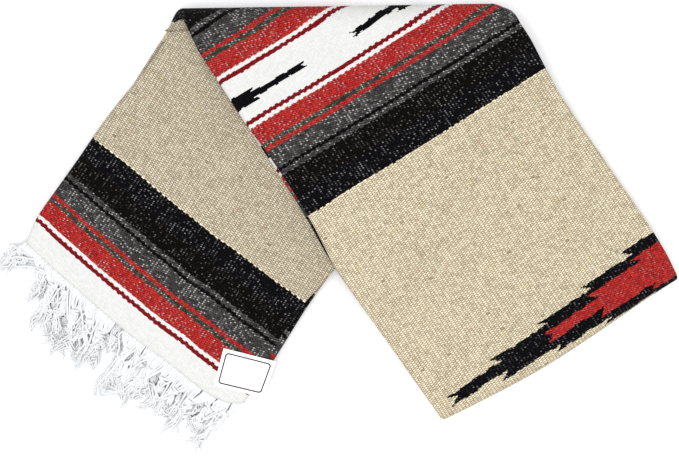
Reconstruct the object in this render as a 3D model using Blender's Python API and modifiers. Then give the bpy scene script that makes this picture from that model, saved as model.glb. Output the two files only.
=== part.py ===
"""Folded striped serape blanket with a knotted fringe, lying flat. Metres, +Z up.

The blanket is folded in four across its width and in half along its length. The band that
this makes is laid with its open end to the left, and folded over once on the slant, so that
the upper leg lies across the lower one.
"""

import bisect
import math

import bmesh
import bpy
from mathutils import Vector

# The cut cloth and the stack that folding it makes
BLANKET_WIDTH = 1.27
PLIES_ACROSS = 4
PLY_PITCH = 0.003
STACK = 2 * PLIES_ACROSS * PLY_PITCH
BAND_WIDTH = BLANKET_WIDTH / PLIES_ACROSS
WALL = 0.0026
SEAM_GAP = 0.0003
LAYER_GAP = 0.0009
LIP = 0.004

# Folded edges: four plies turn together on the left, and two on the right
LEFT_LOBE = 0.0112
RIGHT_LOBE = 0.0055
PLY_NOTCH = 0.0015
PLY_ROUND = 0.0002
ARC_STEPS = 4
COLUMNS = 11
SHOULDER = 0.945
EDGE_COLUMN = 0.972
SHOULDER_LOSS = 0.40
LEG_ROWS = 10

# Soft waves in the height of each leg, as shares of the stack, and their turns in radians
HEM_PRESS = 0.06
HEM_PRESS_LENGTH = 0.7
LOWER_WAVE = 0.05
LOWER_WAVE_ACROSS = 7.0
LOWER_WAVE_ALONG = 5.0
UPPER_WAVE = 0.035
UPPER_WAVE_ACROSS = 5.2
UPPER_WAVE_ALONG = 7.5
UPPER_PRESS = 0.02

# The slanting fold and how the upper leg comes down off the lower one
CREASE_RADIUS = 0.0012
REST_GAP = 0.0005
FOLD_STEPS = 10
SETTLE_SHARE = 0.08
DROP_START = 0.028
DROP_LENGTH = 0.085
DROP_RUN = 0.06
RUN_UNDER = 0.014
STEP_ROOM = 0.0006
CREASE_ROWS = (0.03, 0.07)
FIRST_EVEN_ROW = 0.13
LAST_EVEN_ROW = 0.05

# The end fold, where the blanket turns back on itself at its middle
NOSE_STEPS = 8
NOSE_LAYER_ANGLES = (0.0, 35.0, 62.0, 82.0)

# Plan of the lower leg from hem (0) to slanting fold (1)
LOWER_LEG = (
    # along, left x, left y, right x, right y
    (0.00, -0.3629, -0.0162, -0.1084, -0.1994),
    (0.10, -0.3512, 0.0107, -0.0781, -0.1567),
    (0.25, -0.3261, 0.0471, -0.0363, -0.0901),
    (0.40, -0.3003, 0.0829, 0.0093, -0.0261),
    (0.55, -0.2750, 0.1191, 0.0527, 0.0396),
    (0.70, -0.2489, 0.1548, 0.0960, 0.1052),
    (0.85, -0.2254, 0.1921, 0.1393, 0.1709),
    (1.00, -0.2019, 0.2285, 0.1820, 0.2350),
)
# Plan of the upper leg from slanting fold (0) to where its end fold starts (1)
UPPER_LEG = (
    # along, left x, left y, right x, right y
    (0.00, -0.1724, 0.2262, 0.2050, 0.2314),
    (0.06, -0.1584, 0.1981, 0.2165, 0.2150),
    (0.15, -0.1324, 0.1579, 0.2325, 0.1893),
    (0.30, -0.0890, 0.0909, 0.2603, 0.1456),
    (0.45, -0.0457, 0.0238, 0.2894, 0.1023),
    (0.60, -0.0058, -0.0453, 0.3191, 0.0594),
    (0.75, 0.0405, -0.1110, 0.3482, 0.0175),
    (0.90, 0.0860, -0.1760, 0.3742, -0.0235),
    (1.00, 0.1128, -0.2135, 0.3868, -0.0487),
)
# How far the cut end and the end fold bow out past a straight line between their corners
HEM_BOW = (
    # across, out
    (0.00, 0.000),
    (0.12, 0.005),
    (0.30, 0.011),
    (0.50, 0.016),
    (0.70, 0.017),
    (0.86, 0.019),
    (0.95, 0.014),
    (1.00, 0.003),
)
NOSE_BOW = (
    # across, out
    (0.00, 0.000),
    (0.20, 0.005),
    (0.42, 0.008),
    (0.68, 0.005),
    (0.88, 0.001),
    (1.00, 0.000),
)
BOW_FADE = 0.35
# How far the top ply lies inside the plies beneath it
LOWER_INSET = (
    # along, left, right
    (0.00, 0.0000, 0.0000),
    (0.10, 0.0000, 0.0055),
    (0.22, 0.0000, 0.0070),
    (0.34, 0.0000, 0.0000),
    (0.66, 0.0000, 0.0000),
    (0.85, 0.0060, 0.0000),
    (1.00, 0.0070, 0.0000),
)
UPPER_INSET = (
    # along, left, right
    (0.00, 0.0000, 0.0000),
    (0.12, 0.0035, 0.0000),
    (0.50, 0.0040, 0.0000),
    (0.90, 0.0030, 0.0000),
    (1.00, 0.0000, 0.0000),
)

# The fringe: tassels along the cut end, from left to right
TASSELS = (
    # across, drift along the hem, reach
    (0.030, -0.030, 0.050),
    (0.105, -0.008, 0.042),
    (0.170, 0.006, 0.058),
    (0.235, 0.012, 0.064),
    (0.300, 0.018, 0.066),
    (0.370, 0.012, 0.056),
    (0.440, 0.002, 0.047),
    (0.515, -0.008, 0.062),
    (0.585, -0.004, 0.060),
    (0.655, 0.010, 0.055),
    (0.725, 0.006, 0.046),
    (0.800, -0.004, 0.055),
    (0.870, -0.010, 0.056),
    (0.935, 0.002, 0.064),
)
# One row of tassels hangs from each group of plies at the cut end
FRINGES = (
    # node, depth of its root in the stack, height it lies at, where it falls, shift, reach, strands
    ("fringe_top", 0.0013, 0.0072, 0.048, 0.0, 1.00, 4),
    ("fringe_middle", 0.0112, 0.0036, 0.043, 0.5, 0.80, 3),
    ("fringe_bottom", 0.0210, 0.0000, 0.040, 0.3, 0.70, 3),
)
# A tassel's head leaves the strip as a flat neck and is tied in one knot
HEAD = (
    # out as a share of the way to the knot, width, height
    (0.55, 0.80, 1.0),
    (1.00, 1.35, 2.0),
    (1.45, 0.90, 1.1),
)
BACKING_DEPTH = 0.0024
BACKING_HEIGHT = 0.0020
CORD_WIDTH = 0.0017
KNOT_AT = 0.018
STRAND_WIDTH = 0.0022
STRAND_STEPS = 3
TIP_TAPER = 0.6
SPLAY = 0.0032
STRAND_BEND = 0.54
STRAND_FLATNESS = 0.9
FLOOR_LIFT = 0.0017
FALL_LENGTH = 0.045
TIP_FALL = 0.016

# The sewn label at the corner of the open end
LABEL_CORNERS = ((-0.1271, -0.1369), (-0.0638, -0.1541), (-0.0765, -0.1965), (-0.1455, -0.1863))
LABEL_THICKNESS = 0.001
LABEL_COLUMNS = 6
LABEL_ROWS = 4

SHARP_ANGLE = 50.0
COLLECTION = "folded_serape"


def interpolate(rows, at):
    """Smooth values between the rows of a table, found by its first column."""
    keys = [row[0] for row in rows]
    at = min(max(at, keys[0]), keys[-1])
    i = min(bisect.bisect_right(keys, at) - 1, len(rows) - 2)
    span = keys[i + 1] - keys[i]
    t = (at - keys[i]) / span
    values = []
    for column in range(1, len(rows[0])):
        ends = rows[i][column], rows[i + 1][column]
        slopes = [table_slope(rows, k, column) * span for k in (i, i + 1)]
        values.append(
            (2 * t**3 - 3 * t**2 + 1) * ends[0]
            + (t**3 - 2 * t**2 + t) * slopes[0]
            + (3 * t**2 - 2 * t**3) * ends[1]
            + (t**3 - t**2) * slopes[1]
        )
    return values


def table_slope(rows, i, column):
    before = rows[max(i - 1, 0)]
    after = rows[min(i + 1, len(rows) - 1)]
    return (after[column] - before[column]) / (after[0] - before[0])


def ease(t):
    """0 to 1 with a soft start and end."""
    t = min(max(t, 0.0), 1.0)
    return t * t * (3 - 2 * t)


def edges(leg, along):
    """Plan points on the left and right edge of a leg."""
    left_x, left_y, right_x, right_y = interpolate(leg, along)
    return Vector((left_x, left_y)), Vector((right_x, right_y))


def leans(leg, along):
    """How much longer an inset is along the row than square to the left and right edge."""
    step = 0.02
    before = edges(leg, along - step)
    after = edges(leg, along + step)
    left, right = edges(leg, along)
    row = (right - left).normalized()
    found = []
    for start, end in zip(before, after):
        edge = (end - start).normalized()
        found.append(1 / abs(row.x * edge.y - row.y * edge.x))
    return found


def outward(leg, along):
    """Plan direction that leaves the band past its end."""
    left, right = edges(leg, along)
    row = (right - left).normalized()
    return Vector((row.y, -row.x))


def plan(leg, along, side, inset):
    """Plan point of a leg: side runs from 0, left, to 1, right, and inset is square to that edge."""
    left, right = edges(leg, along)
    lean_left, lean_right = leans(leg, along)
    width = (right - left).length
    share = side
    if side == 0:
        share = inset * lean_left / width
    elif side == 1:
        share = 1 - inset * lean_right / width
    point = left.lerp(right, share)
    if leg is LOWER_LEG:
        bow = interpolate(HEM_BOW, share)[0] * (1 - ease(along / BOW_FADE))
        return point + outward(leg, 0) * bow, share
    bow = interpolate(NOSE_BOW, share)[0] * (1 - ease((1 - along) / BOW_FADE))
    return point + outward(leg, 1) * bow, share


def lower_loft(along, share):
    """Height of the lower leg as a share of the stack: it is pressed flatter at the hem."""
    turn = LOWER_WAVE_ACROSS * share + LOWER_WAVE_ALONG * along
    loss = HEM_PRESS + LOWER_WAVE * (0.5 + 0.5 * math.sin(turn))
    return 1 - (1 - ease(along / HEM_PRESS_LENGTH)) * loss


def upper_loft(along, share):
    """Height of the upper leg as a share of the stack, with low soft waves."""
    fade = ease(along / 0.2) * ease((1 - along) / 0.12)
    turn = UPPER_WAVE_ACROSS * share + UPPER_WAVE_ALONG * along
    return 1 + fade * (UPPER_WAVE * math.sin(turn) - UPPER_PRESS)


def past_lower_leg(point):
    """Plan distance of a point to the right of the lower leg's right edge."""
    start = edges(LOWER_LEG, 0.25)[1]
    end = edges(LOWER_LEG, 1.0)[1]
    along = (end - start).normalized()
    return (point - start).dot(Vector((along.y, -along.x)))


def support(point, along):
    """Height of the upper leg's underside: on the lower leg, then down to the floor."""
    held = STACK + REST_GAP
    held += (2 * CREASE_RADIUS - REST_GAP) * (1 - ease(along / SETTLE_SHARE))
    clear = (edges(UPPER_LEG, along)[0] - edges(UPPER_LEG, 0)[0]).length / DROP_RUN
    drop = ease((past_lower_leg(point) - DROP_START) / DROP_LENGTH) * ease(clear)
    return held * (1 - drop)


def place(station, side, inset, level):
    """World point in the stack. Level runs from 0, the lower leg's top, to STACK, its underside."""
    kind, along, angle = station
    if kind == "lower":
        point, share = plan(LOWER_LEG, along, side, inset)
        return Vector((point.x, point.y, lower_loft(along, share) * (STACK - level)))
    if kind == "fold":
        before = plan(LOWER_LEG, 1, side, inset)[0]
        after, share = plan(UPPER_LEG, 0, side, inset)
        point = before.lerp(after, angle / math.pi)
        radius = CREASE_RADIUS + level
        loss = SHOULDER_LOSS * max(0.0, share - SHOULDER) / (1 - SHOULDER)
        bulge = radius * math.sin(angle) * (1 - loss)
        height = STACK + CREASE_RADIUS - radius * math.cos(angle)
        return Vector((point.x, point.y + bulge, height))
    point, share = plan(UPPER_LEG, along, side, inset)
    out = 0.0
    if kind == "nose":
        reach = level - STACK / 2
        out = abs(reach) * math.sin(angle)
        level = STACK / 2 + reach * math.cos(angle)
    height = support(point, along) + upper_loft(along, share) * level
    point = point + outward(UPPER_LEG, 1) * out
    return Vector((point.x, point.y, height))


def columns(right_inset):
    """Where the columns of points lie across the flat of the band, clear of an inset edge."""
    even = [column / COLUMNS for column in range(1, COLUMNS)]
    return even + [SHOULDER, EDGE_COLUMN - right_inset / BAND_WIDTH]


def shares(first, last, steps):
    return [first + (last - first) * i / steps for i in range(steps + 1)]


def leg_share(leg, distance):
    """A distance along a leg as a share of the leg's length."""
    return distance / (edges(leg, 1)[0] - edges(leg, 0)[0]).length


def wall_section(inset_left, inset_right):
    """Section of a cloth wall with its edges turned in: (side, inset, depth) round the wall."""
    outer = []
    inner = []
    left = LEFT_LOBE / 2
    right = RIGHT_LOBE / 2
    arc = [math.pi * (i / ARC_STEPS - 0.5) for i in range(ARC_STEPS + 1)]
    for face, thick in ((outer, 0.0), (inner, WALL)):
        face.append((0, inset_left + left + LIP, LEFT_LOBE - thick))
        for angle in arc:
            small = left - thick
            face.append(
                (0, inset_left + left - small * math.cos(angle), left - small * math.sin(angle))
            )
        face += [(share, 0.0, thick) for share in columns(inset_right)]
        for angle in reversed(arc):
            small = right - thick
            face.append(
                (1, inset_right + right - small * math.cos(angle), right - small * math.sin(angle))
            )
        face.append((1, inset_right + right + LIP, RIGHT_LOBE - thick))
    return outer + inner[::-1]


def lobe(side, size, levels, covered, inset):
    """Edge points of the hidden layers on one fold: round, or held back under a wall."""
    start, end = levels
    points = []
    for i in range(ARC_STEPS + 2):
        t = i / (ARC_STEPS + 1)
        if covered:
            points.append((side, inset + size / 2 + LIP + STEP_ROOM, start + (end - start) * t))
        else:
            angle = math.pi * (t - 0.5)
            middle = (start + end) / 2
            half = (end - start) / 2
            points.append(
                (side, size / 2 * (1 - math.cos(angle)), middle + half * math.sin(angle))
            )
    return points


def ply_ends(levels):
    """Edge points of the cut plies that show between the two folds on the right."""
    first, last = levels
    count = round((last - first) / PLY_PITCH)
    pitch = (last - first) / count
    points = []
    for ply in range(count):
        level = first + ply * pitch
        points.append((1, PLY_NOTCH, level + 0.08 * pitch))
        points.append((1, PLY_ROUND, level + 0.30 * pitch))
        points.append((1, PLY_ROUND, level + 0.70 * pitch))
    return points + [(1, PLY_NOTCH, last - 0.08 * pitch)]


def layer_section(cover_top, cover_under, top_insets, under_insets):
    """Section of the hidden layers: (side, inset, level), first down the left, then back."""
    cover = WALL + LAYER_GAP
    low = cover if cover_top else 0.0
    high = STACK - cover if cover_under else STACK
    half = STACK / 2
    upper_end = half - SEAM_GAP / 2
    under_start = half + SEAM_GAP / 2
    left = lobe(0, LEFT_LOBE, (low, upper_end), cover_top, top_insets[0])
    left += lobe(0, LEFT_LOBE, (under_start, high), cover_under, under_insets[0])
    ply = 2 * PLY_PITCH
    clear = ply + 2 * SEAM_GAP
    right = lobe(1, RIGHT_LOBE, (low, clear if cover_top else ply), cover_top, top_insets[1])
    right += ply_ends((clear, STACK - clear))
    under_ply = STACK - (clear if cover_under else ply)
    right += lobe(1, RIGHT_LOBE, (under_ply, high), cover_under, under_insets[1])
    across = columns(max(top_insets[1], under_insets[1]))
    bottom = [(share, 0.0, high) for share in across]
    top = [(share, 0.0, low) for share in reversed(across)]
    return left, bottom, right[::-1], top


def add_loft(mesh, rings, sides):
    """Triangles between rings of points. All slant the same way, so that lofts nest closely."""
    rows = [[mesh.verts.new(point) for point in ring] for ring in rings]
    for before, after in zip(rows, rows[1:]):
        for i in range(len(before)):
            k = (i + 1) % len(before)
            if sides[i] <= sides[k]:
                mesh.faces.new((before[i], before[k], after[k]))
                mesh.faces.new((before[i], after[k], after[i]))
            else:
                mesh.faces.new((before[i], before[k], after[i]))
                mesh.faces.new((before[k], after[k], after[i]))
    return rows


def finish_object(name, mesh, collection, material, smooth=True):
    """A named object from a mesh in progress, with its faces turned outwards."""
    bmesh.ops.recalc_face_normals(mesh, faces=mesh.faces)
    data = bpy.data.meshes.new(name)
    mesh.to_mesh(data)
    mesh.free()
    data.materials.append(material)
    if smooth:
        data.shade_smooth()
        data.set_sharp_from_angle(angle=math.radians(SHARP_ANGLE))
    item = bpy.data.objects.new(name, data)
    collection.objects.link(item)
    return item


def cloth_material(name, colour, roughness):
    material = bpy.data.materials.new(name)
    material.use_nodes = True
    shader = material.node_tree.nodes["Principled BSDF"]
    shader.inputs["Base Color"].default_value = (*colour, 1.0)
    shader.inputs["Roughness"].default_value = roughness
    shader.inputs["Metallic"].default_value = 0.0
    material.diffuse_color = (*colour, 1.0)
    return material


def make_wall(name, stations, insets, collection, material):
    """A cloth wall swept through the stations. Each station says which face of the stack it is."""
    mesh = bmesh.new()
    rings = []
    for station, face, row in stations:
        section = wall_section(*insets[row])
        ring = []
        for side, inset, depth in section:
            level = depth if face == "top" else STACK - depth
            ring.append(place(station, side, inset, level))
        rings.append(ring)
    rows = add_loft(mesh, rings, [spot[0] for spot in section])
    half = len(rows[0]) // 2
    for row in (rows[0], rows[-1]):
        for i in range(half - 1):
            mesh.faces.new((row[i], row[i + 1], row[-i - 2], row[-i - 1]))
    return finish_object(name, mesh, collection, material)


def make_lower_leg(collection, material):
    """The cloth that shows on the lower leg, from the hem into the crease."""
    end = 1 - leg_share(LOWER_LEG, 3 * STEP_ROOM)
    stations = []
    insets = []
    for row, along in enumerate(shares(0.0, end, LEG_ROWS)):
        stations.append((("lower", along, 0.0), "top", row))
        insets.append(interpolate(LOWER_INSET, along))
    return make_wall("lower_leg", stations, insets, collection, material)


def make_upper_leg(collection, material):
    """The cloth from under the slanting fold, over the upper leg and round its end fold."""
    tail = leg_share(LOWER_LEG, RUN_UNDER)
    path = [(("lower", along, 0.0), "under") for along in (1 - tail, 1 - tail / 2)]
    for angle in shares(0.0, math.pi, FOLD_STEPS):
        path.append((("fold", 0.0, angle), "under"))
    for along in upper_rows():
        path.append((("upper", along, 0.0), "under"))
    for angle in shares(0.0, math.pi, NOSE_STEPS):
        path.append((("nose", 1.0, angle), "under"))
    path.append((("upper", 1 - leg_share(UPPER_LEG, RUN_UNDER), 0.0), "top"))
    stations = []
    insets = []
    for row, (station, face) in enumerate(path):
        stations.append((station, face, row))
        covered = station[0] == "upper" and face == "under"
        insets.append(interpolate(UPPER_INSET, station[1]) if covered else (0.0, 0.0))
    return make_wall("upper_leg", stations, insets, collection, material)


def upper_rows():
    """Where the rows of the upper leg lie, between its two folds."""
    near = 1 - leg_share(UPPER_LEG, RUN_UNDER)
    return [*CREASE_ROWS, *shares(FIRST_EVEN_ROW, near - LAST_EVEN_ROW, LEG_ROWS - 1), near]


def make_hidden_layers(collection, material):
    """One rounded solid for the plies inside the fold and on the floor, layered at its edges."""
    run = leg_share(LOWER_LEG, RUN_UNDER)
    room = leg_share(LOWER_LEG, STEP_ROOM)
    rows = []
    for along in [0.0] + shares(0.1, 1 - run - 2 * room, LEG_ROWS - 2):
        rows.append((("lower", along, 0.0), True, False))
    rows.append((("lower", 1 - run - room, 0.0), True, True))
    rows.append((("lower", 1 - 2 * room, 0.0), True, True))
    rows.append((("lower", 1 - room, 0.0), False, True))
    for angle in shares(0.0, math.pi, FOLD_STEPS):
        rows.append((("fold", 0.0, angle), False, True))
    step = leg_share(UPPER_LEG, STEP_ROOM)
    places = upper_rows()
    for along in places[:-1] + [places[-1] - 2 * step]:
        rows.append((("upper", along, 0.0), False, True))
    rows.append((("upper", places[-1] - step, 0.0), True, True))
    for angle in NOSE_LAYER_ANGLES:
        rows.append((("nose", 1.0, math.radians(angle)), True, True))
    mesh = bmesh.new()
    rings = []
    for station, cover_top, cover_under in rows:
        kind, along = station[:2]
        top_insets = interpolate(LOWER_INSET, along) if kind == "lower" else (0.0, 0.0)
        under_insets = interpolate(UPPER_INSET, along) if kind == "upper" else (0.0, 0.0)
        section = layer_section(cover_top, cover_under, top_insets, under_insets)
        counts = [len(stretch) for stretch in section]
        spots = [spot for stretch in section for spot in stretch]
        rings.append([place(station, *spot) for spot in spots])
    lofted = add_loft(mesh, rings, [spot[0] for spot in spots])
    for row in (lofted[0], lofted[-1]):
        cap_layers(mesh, row, counts)
    return finish_object("hidden_layers", mesh, collection, material)


def cap_layers(mesh, row, counts):
    """Closes an end of the hidden layers: a face at each edge and quads between them."""
    left_count, bottom_count, right_count, top_count = counts
    left = row[:left_count]
    bottom = row[left_count : left_count + bottom_count]
    right = row[left_count + bottom_count : left_count + bottom_count + right_count]
    top = row[-top_count:][::-1]
    mesh.faces.new(left + [bottom[0], top[0]])
    mesh.faces.new(right + [top[-1], bottom[-1]])
    for i in range(bottom_count - 1):
        mesh.faces.new((bottom[i], bottom[i + 1], top[i + 1], top[i]))


def fall(distance, root, lay, fall_from):
    """Height of a tassel at a distance from the hem, with the plies' fringe below it."""
    height = FLOOR_LIFT + lay * (1 - ease((distance - fall_from) / TIP_FALL))
    return height + (root - FLOOR_LIFT - lay) * (1 - ease(distance / FALL_LENGTH))


def fringe_row(shift, reach_share):
    """Tassels of one row: the table's own, or ones that lie between them."""
    if shift == 0:
        return TASSELS
    found = []
    for before, after in zip(TASSELS, TASSELS[1:]):
        values = [a + (b - a) * shift for a, b in zip(before, after)]
        found.append((values[0], values[1], values[2] * reach_share))
    return found


def hem_point(share, out, height):
    """World point past the cut end of the lower leg."""
    point = plan(LOWER_LEG, 0, min(max(share, 0.001), 0.999), 0.0)[0]
    point = point + outward(LOWER_LEG, 0) * out
    return Vector((point.x, point.y, height))


def make_fringe(name, root, lay, fall_from, tassels, strands, collection, material):
    """A row of tassels on a narrow strip: each is a flat neck, a knot and loose strands."""
    left, right = edges(LOWER_LEG, 0)
    width = (right - left).length
    hem = (right - left).normalized()
    hem = Vector((hem.x, hem.y, 0.0))
    out = outward(LOWER_LEG, 0)
    out = Vector((out.x, out.y, 0.0))
    neck = strands * CORD_WIDTH / width
    cuts = [tassels[0][0] - neck]
    cells = []
    for across, drift, reach in tassels:
        first = across - neck / 2
        cells.append(len(cuts))
        cuts += [first + neck * i / strands for i in range(strands + 1)]
    cuts.append(tassels[-1][0] + neck)
    mesh = bmesh.new()
    near = 2 * SEAM_GAP
    far = near + BACKING_DEPTH
    low = root - BACKING_HEIGHT / 2
    high = root + BACKING_HEIGHT / 2
    rings = []
    for share in cuts:
        corners = ((near, low), (near, high), (far, high), (far, low))
        rings.append([hem_point(share, *corner) for corner in corners])
    rows = [[mesh.verts.new(point) for point in ring] for ring in rings]
    for before, after in zip(rows, rows[1:]):
        for i in range(4):
            mesh.faces.new((before[i - 1], before[i], after[i], after[i - 1]))
    mesh.faces.new(rows[0])
    mesh.faces.new(rows[-1])
    for first, (across, drift, reach) in zip(cells, tassels):
        faces = []
        for i in range(first, first + strands):
            corners = {rows[i][2], rows[i][3], rows[i + 1][2], rows[i + 1][3]}
            faces.append(next(f for f in rows[i][2].link_faces if set(f.verts) == corners))
        base = hem_point(across, far, root)
        course = hem * drift + out * reach
        faces = pull_head(mesh, faces, base, course, hem, root, lay, fall_from)
        for i, face in enumerate(faces):
            spread = (i - (strands - 1) / 2) * SPLAY
            pull_strand(mesh, face, base, course, hem, spread, root, lay, fall_from)
    return finish_object(name, mesh, collection, material, smooth=False)


def pull_head(mesh, faces, base, course, hem, root, lay, fall_from):
    """Pulls a tassel's neck and knot out of the strip, and gives back the knot's far faces."""
    length = course.length
    width, height = 1.0, 1.0
    for out, wide, tall in HEAD:
        distance = out * KNOT_AT
        pulled = bmesh.ops.extrude_face_region(mesh, geom=faces)["geom"]
        bmesh.ops.delete(mesh, geom=faces, context="FACES_ONLY")
        faces = [item for item in pulled if isinstance(item, bmesh.types.BMFace)]
        verts = {vert for face in faces for vert in face.verts}
        centre = sum((vert.co for vert in verts), Vector()) / len(verts)
        target = base + course * (distance / length)
        target.z = fall(distance, root, lay, fall_from)
        for vert in verts:
            offset = vert.co - centre
            sideways = offset.dot(hem) * wide / width
            upward = offset.z * tall / height
            vert.co = target + hem * sideways + Vector((0.0, 0.0, upward))
        width, height = wide, tall
    return sorted(faces, key=lambda face: face.calc_center_median().dot(hem))


def pull_strand(mesh, face, base, course, hem, spread, root, lay, fall_from):
    """Pulls one loose strand out of the knot."""
    length = course.length
    start = face.calc_center_median()
    begin = (start - base).dot(course.normalized())
    for step in range(1, STRAND_STEPS + 1):
        t = step / STRAND_STEPS
        distance = begin + (length - abs(spread) - begin) * t
        made = bmesh.ops.extrude_discrete_faces(mesh, faces=[face])
        face = made["faces"][0]
        centre = face.calc_center_median()
        target = base + course * (distance / length)
        target += hem * ((start - base - course * (begin / length)).dot(hem) * (1 - t))
        target += hem * spread * (t * (2 - t) + STRAND_BEND * math.sin(math.pi * t))
        target.z = fall(distance, root, lay, fall_from)
        width = STRAND_WIDTH * (1 - (1 - TIP_TAPER) * t)
        for vert in face.verts:
            offset = vert.co - centre
            sideways = math.copysign(width / 2, offset.dot(hem))
            upward = math.copysign(STRAND_FLATNESS * width / 2, offset.z)
            vert.co = target + hem * sideways + Vector((0.0, 0.0, upward))


def make_label(collection, material):
    """A plain sewn label, lying on the corner of the lower leg."""
    mesh = bmesh.new()
    grid = []
    corners = [Vector(corner) for corner in LABEL_CORNERS]
    for j in range(LABEL_ROWS + 1):
        line = []
        for i in range(LABEL_COLUMNS + 1):
            top = corners[0].lerp(corners[1], i / LABEL_COLUMNS)
            bottom = corners[3].lerp(corners[2], i / LABEL_COLUMNS)
            point = top.lerp(bottom, j / LABEL_ROWS)
            height = label_height(point) + 2 * SEAM_GAP
            line.append(mesh.verts.new((point.x, point.y, height)))
        grid.append(line)
    for upper, lower in zip(grid, grid[1:]):
        for i in range(LABEL_COLUMNS):
            mesh.faces.new((upper[i], lower[i], lower[i + 1], upper[i + 1]))
    item = finish_object("label", mesh, collection, material, smooth=False)
    thicken = item.modifiers.new("thickness", "SOLIDIFY")
    thicken.thickness = LABEL_THICKNESS
    thicken.offset = 1.0
    return item


def label_height(point):
    """Height of the lower leg's top beneath a plan point near its open end."""
    best = None
    for along in shares(0.0, 0.3, 12):
        left, right = edges(LOWER_LEG, along)
        row = (right - left).normalized()
        off_row = abs((point - left).dot(Vector((row.y, -row.x))))
        if best is None or off_row < best[0]:
            best = off_row, along, (point - left).dot(row) / (right - left).length
    along, share = best[1:]
    return lower_loft(along, min(share, 1.0)) * STACK


def seat_on_origin(parent, items):
    """Moves everything so that the middle of its box, at floor level, is the origin."""
    bpy.context.view_layer.update()
    corners = [item.matrix_world @ Vector(corner) for item in items for corner in item.bound_box]
    middle = [
        (min(corner[axis] for corner in corners) + max(corner[axis] for corner in corners)) / 2
        for axis in (0, 1)
    ]
    parent.location = (-middle[0], -middle[1], 0.0)


def main():
    for item in list(bpy.data.objects):
        bpy.data.objects.remove(item, do_unlink=True)
    collection = bpy.data.collections.new(COLLECTION)
    bpy.context.scene.collection.children.link(collection)
    upper = cloth_material("upper_cloth", (0.62, 0.53, 0.38), 0.95)
    lower = cloth_material("lower_cloth", (0.56, 0.47, 0.33), 0.95)
    layers = cloth_material("layers", (0.48, 0.42, 0.31), 0.95)
    yarn = cloth_material("fringe_yarn", (0.86, 0.87, 0.88), 0.9)
    white = cloth_material("label_cloth", (0.9, 0.89, 0.87), 0.8)
    items = [
        make_lower_leg(collection, lower),
        make_upper_leg(collection, upper),
        make_hidden_layers(collection, layers),
        make_label(collection, white),
    ]
    for name, depth, lay, fall_from, shift, reach_share, strands in FRINGES:
        root = lower_loft(0, 0.5) * (STACK - depth) - SEAM_GAP
        tassels = fringe_row(shift, reach_share)
        items.append(
            make_fringe(name, root, lay, fall_from, tassels, strands, collection, yarn)
        )
    parent = bpy.data.objects.new("serape_origin", None)
    collection.objects.link(parent)
    for item in items:
        item.parent = parent
    seat_on_origin(parent, items)


main()
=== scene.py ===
"""Dresses the folded serape: woven stripes and stepped motifs, layered folds, knotted fringe.

Metres, +Z up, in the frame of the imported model. The plan tables are in metres from the middle
of the picture, as the solids' own tables are, and SHIFT carries them into the frame.
"""

import bisect
import functools
import math
import random

import bmesh
import bpy
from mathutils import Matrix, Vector, noise


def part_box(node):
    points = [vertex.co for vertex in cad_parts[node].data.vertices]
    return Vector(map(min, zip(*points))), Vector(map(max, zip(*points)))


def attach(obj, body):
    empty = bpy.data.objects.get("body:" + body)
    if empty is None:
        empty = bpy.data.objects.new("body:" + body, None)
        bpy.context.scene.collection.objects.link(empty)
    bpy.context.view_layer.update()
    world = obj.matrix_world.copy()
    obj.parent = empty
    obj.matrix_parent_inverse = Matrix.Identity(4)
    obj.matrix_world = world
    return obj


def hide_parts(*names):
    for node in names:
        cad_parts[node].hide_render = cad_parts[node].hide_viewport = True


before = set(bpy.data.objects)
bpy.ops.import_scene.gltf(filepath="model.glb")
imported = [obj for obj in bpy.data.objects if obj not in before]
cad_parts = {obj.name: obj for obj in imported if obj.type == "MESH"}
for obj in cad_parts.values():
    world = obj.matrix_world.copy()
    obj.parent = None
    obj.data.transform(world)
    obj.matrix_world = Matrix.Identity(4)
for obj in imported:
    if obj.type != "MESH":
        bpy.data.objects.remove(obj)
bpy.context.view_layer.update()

bl_info = {
    "name": "Folded serape",
    "version": (1, 0, 0),
    "blender": (4, 5, 0),
    "location": "View3D > Sidebar > Serape",
    "description": "Builds a folded striped serape blanket around its solids",
    "category": "Object",
}

# The cut cloth and its folds
PLIES_ACROSS = 4
BLANKET_WIDTH = 1.27
BAND_WIDTH = BLANKET_WIDTH / PLIES_ACROSS
PLY_PITCH = 0.003
STACK = 2 * PLIES_ACROSS * PLY_PITCH
WALL = 0.0026
SHEET = 0.0023
SEAM_GAP = 0.0003
LAYER_GAP = 0.0009
LIP = 0.004
LEFT_LOBE = 0.0112
RIGHT_LOBE = 0.0055
PLY_NOTCH = 0.0015
PLY_ROUND = 0.0002
SHOULDER = 0.955
SHOULDER_LOSS = 0.30
EDGE_COLUMN = 0.972

# Soft waves in the height of each leg, as shares of the stack
HEM_PRESS = 0.06
HEM_PRESS_LENGTH = 0.7
LOWER_WAVE = 0.05
LOWER_WAVE_ACROSS = 7.0
LOWER_WAVE_ALONG = 5.0
UPPER_WAVE = 0.035
UPPER_WAVE_ACROSS = 5.2
UPPER_WAVE_ALONG = 7.5
UPPER_PRESS = 0.02

# The slanting fold and the way down off the lower leg
CREASE_RADIUS = 0.0012
REST_GAP = 0.0005
SETTLE_SHARE = 0.08
DROP_START = 0.028
DROP_LENGTH = 0.085
DROP_RUN = 0.06
RUN_UNDER = 0.014
STEP_ROOM = 0.0006
# How far the stripes of the plies under the upper leg lag behind the top ply's
PLIES_BEHIND = 0.062

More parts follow.
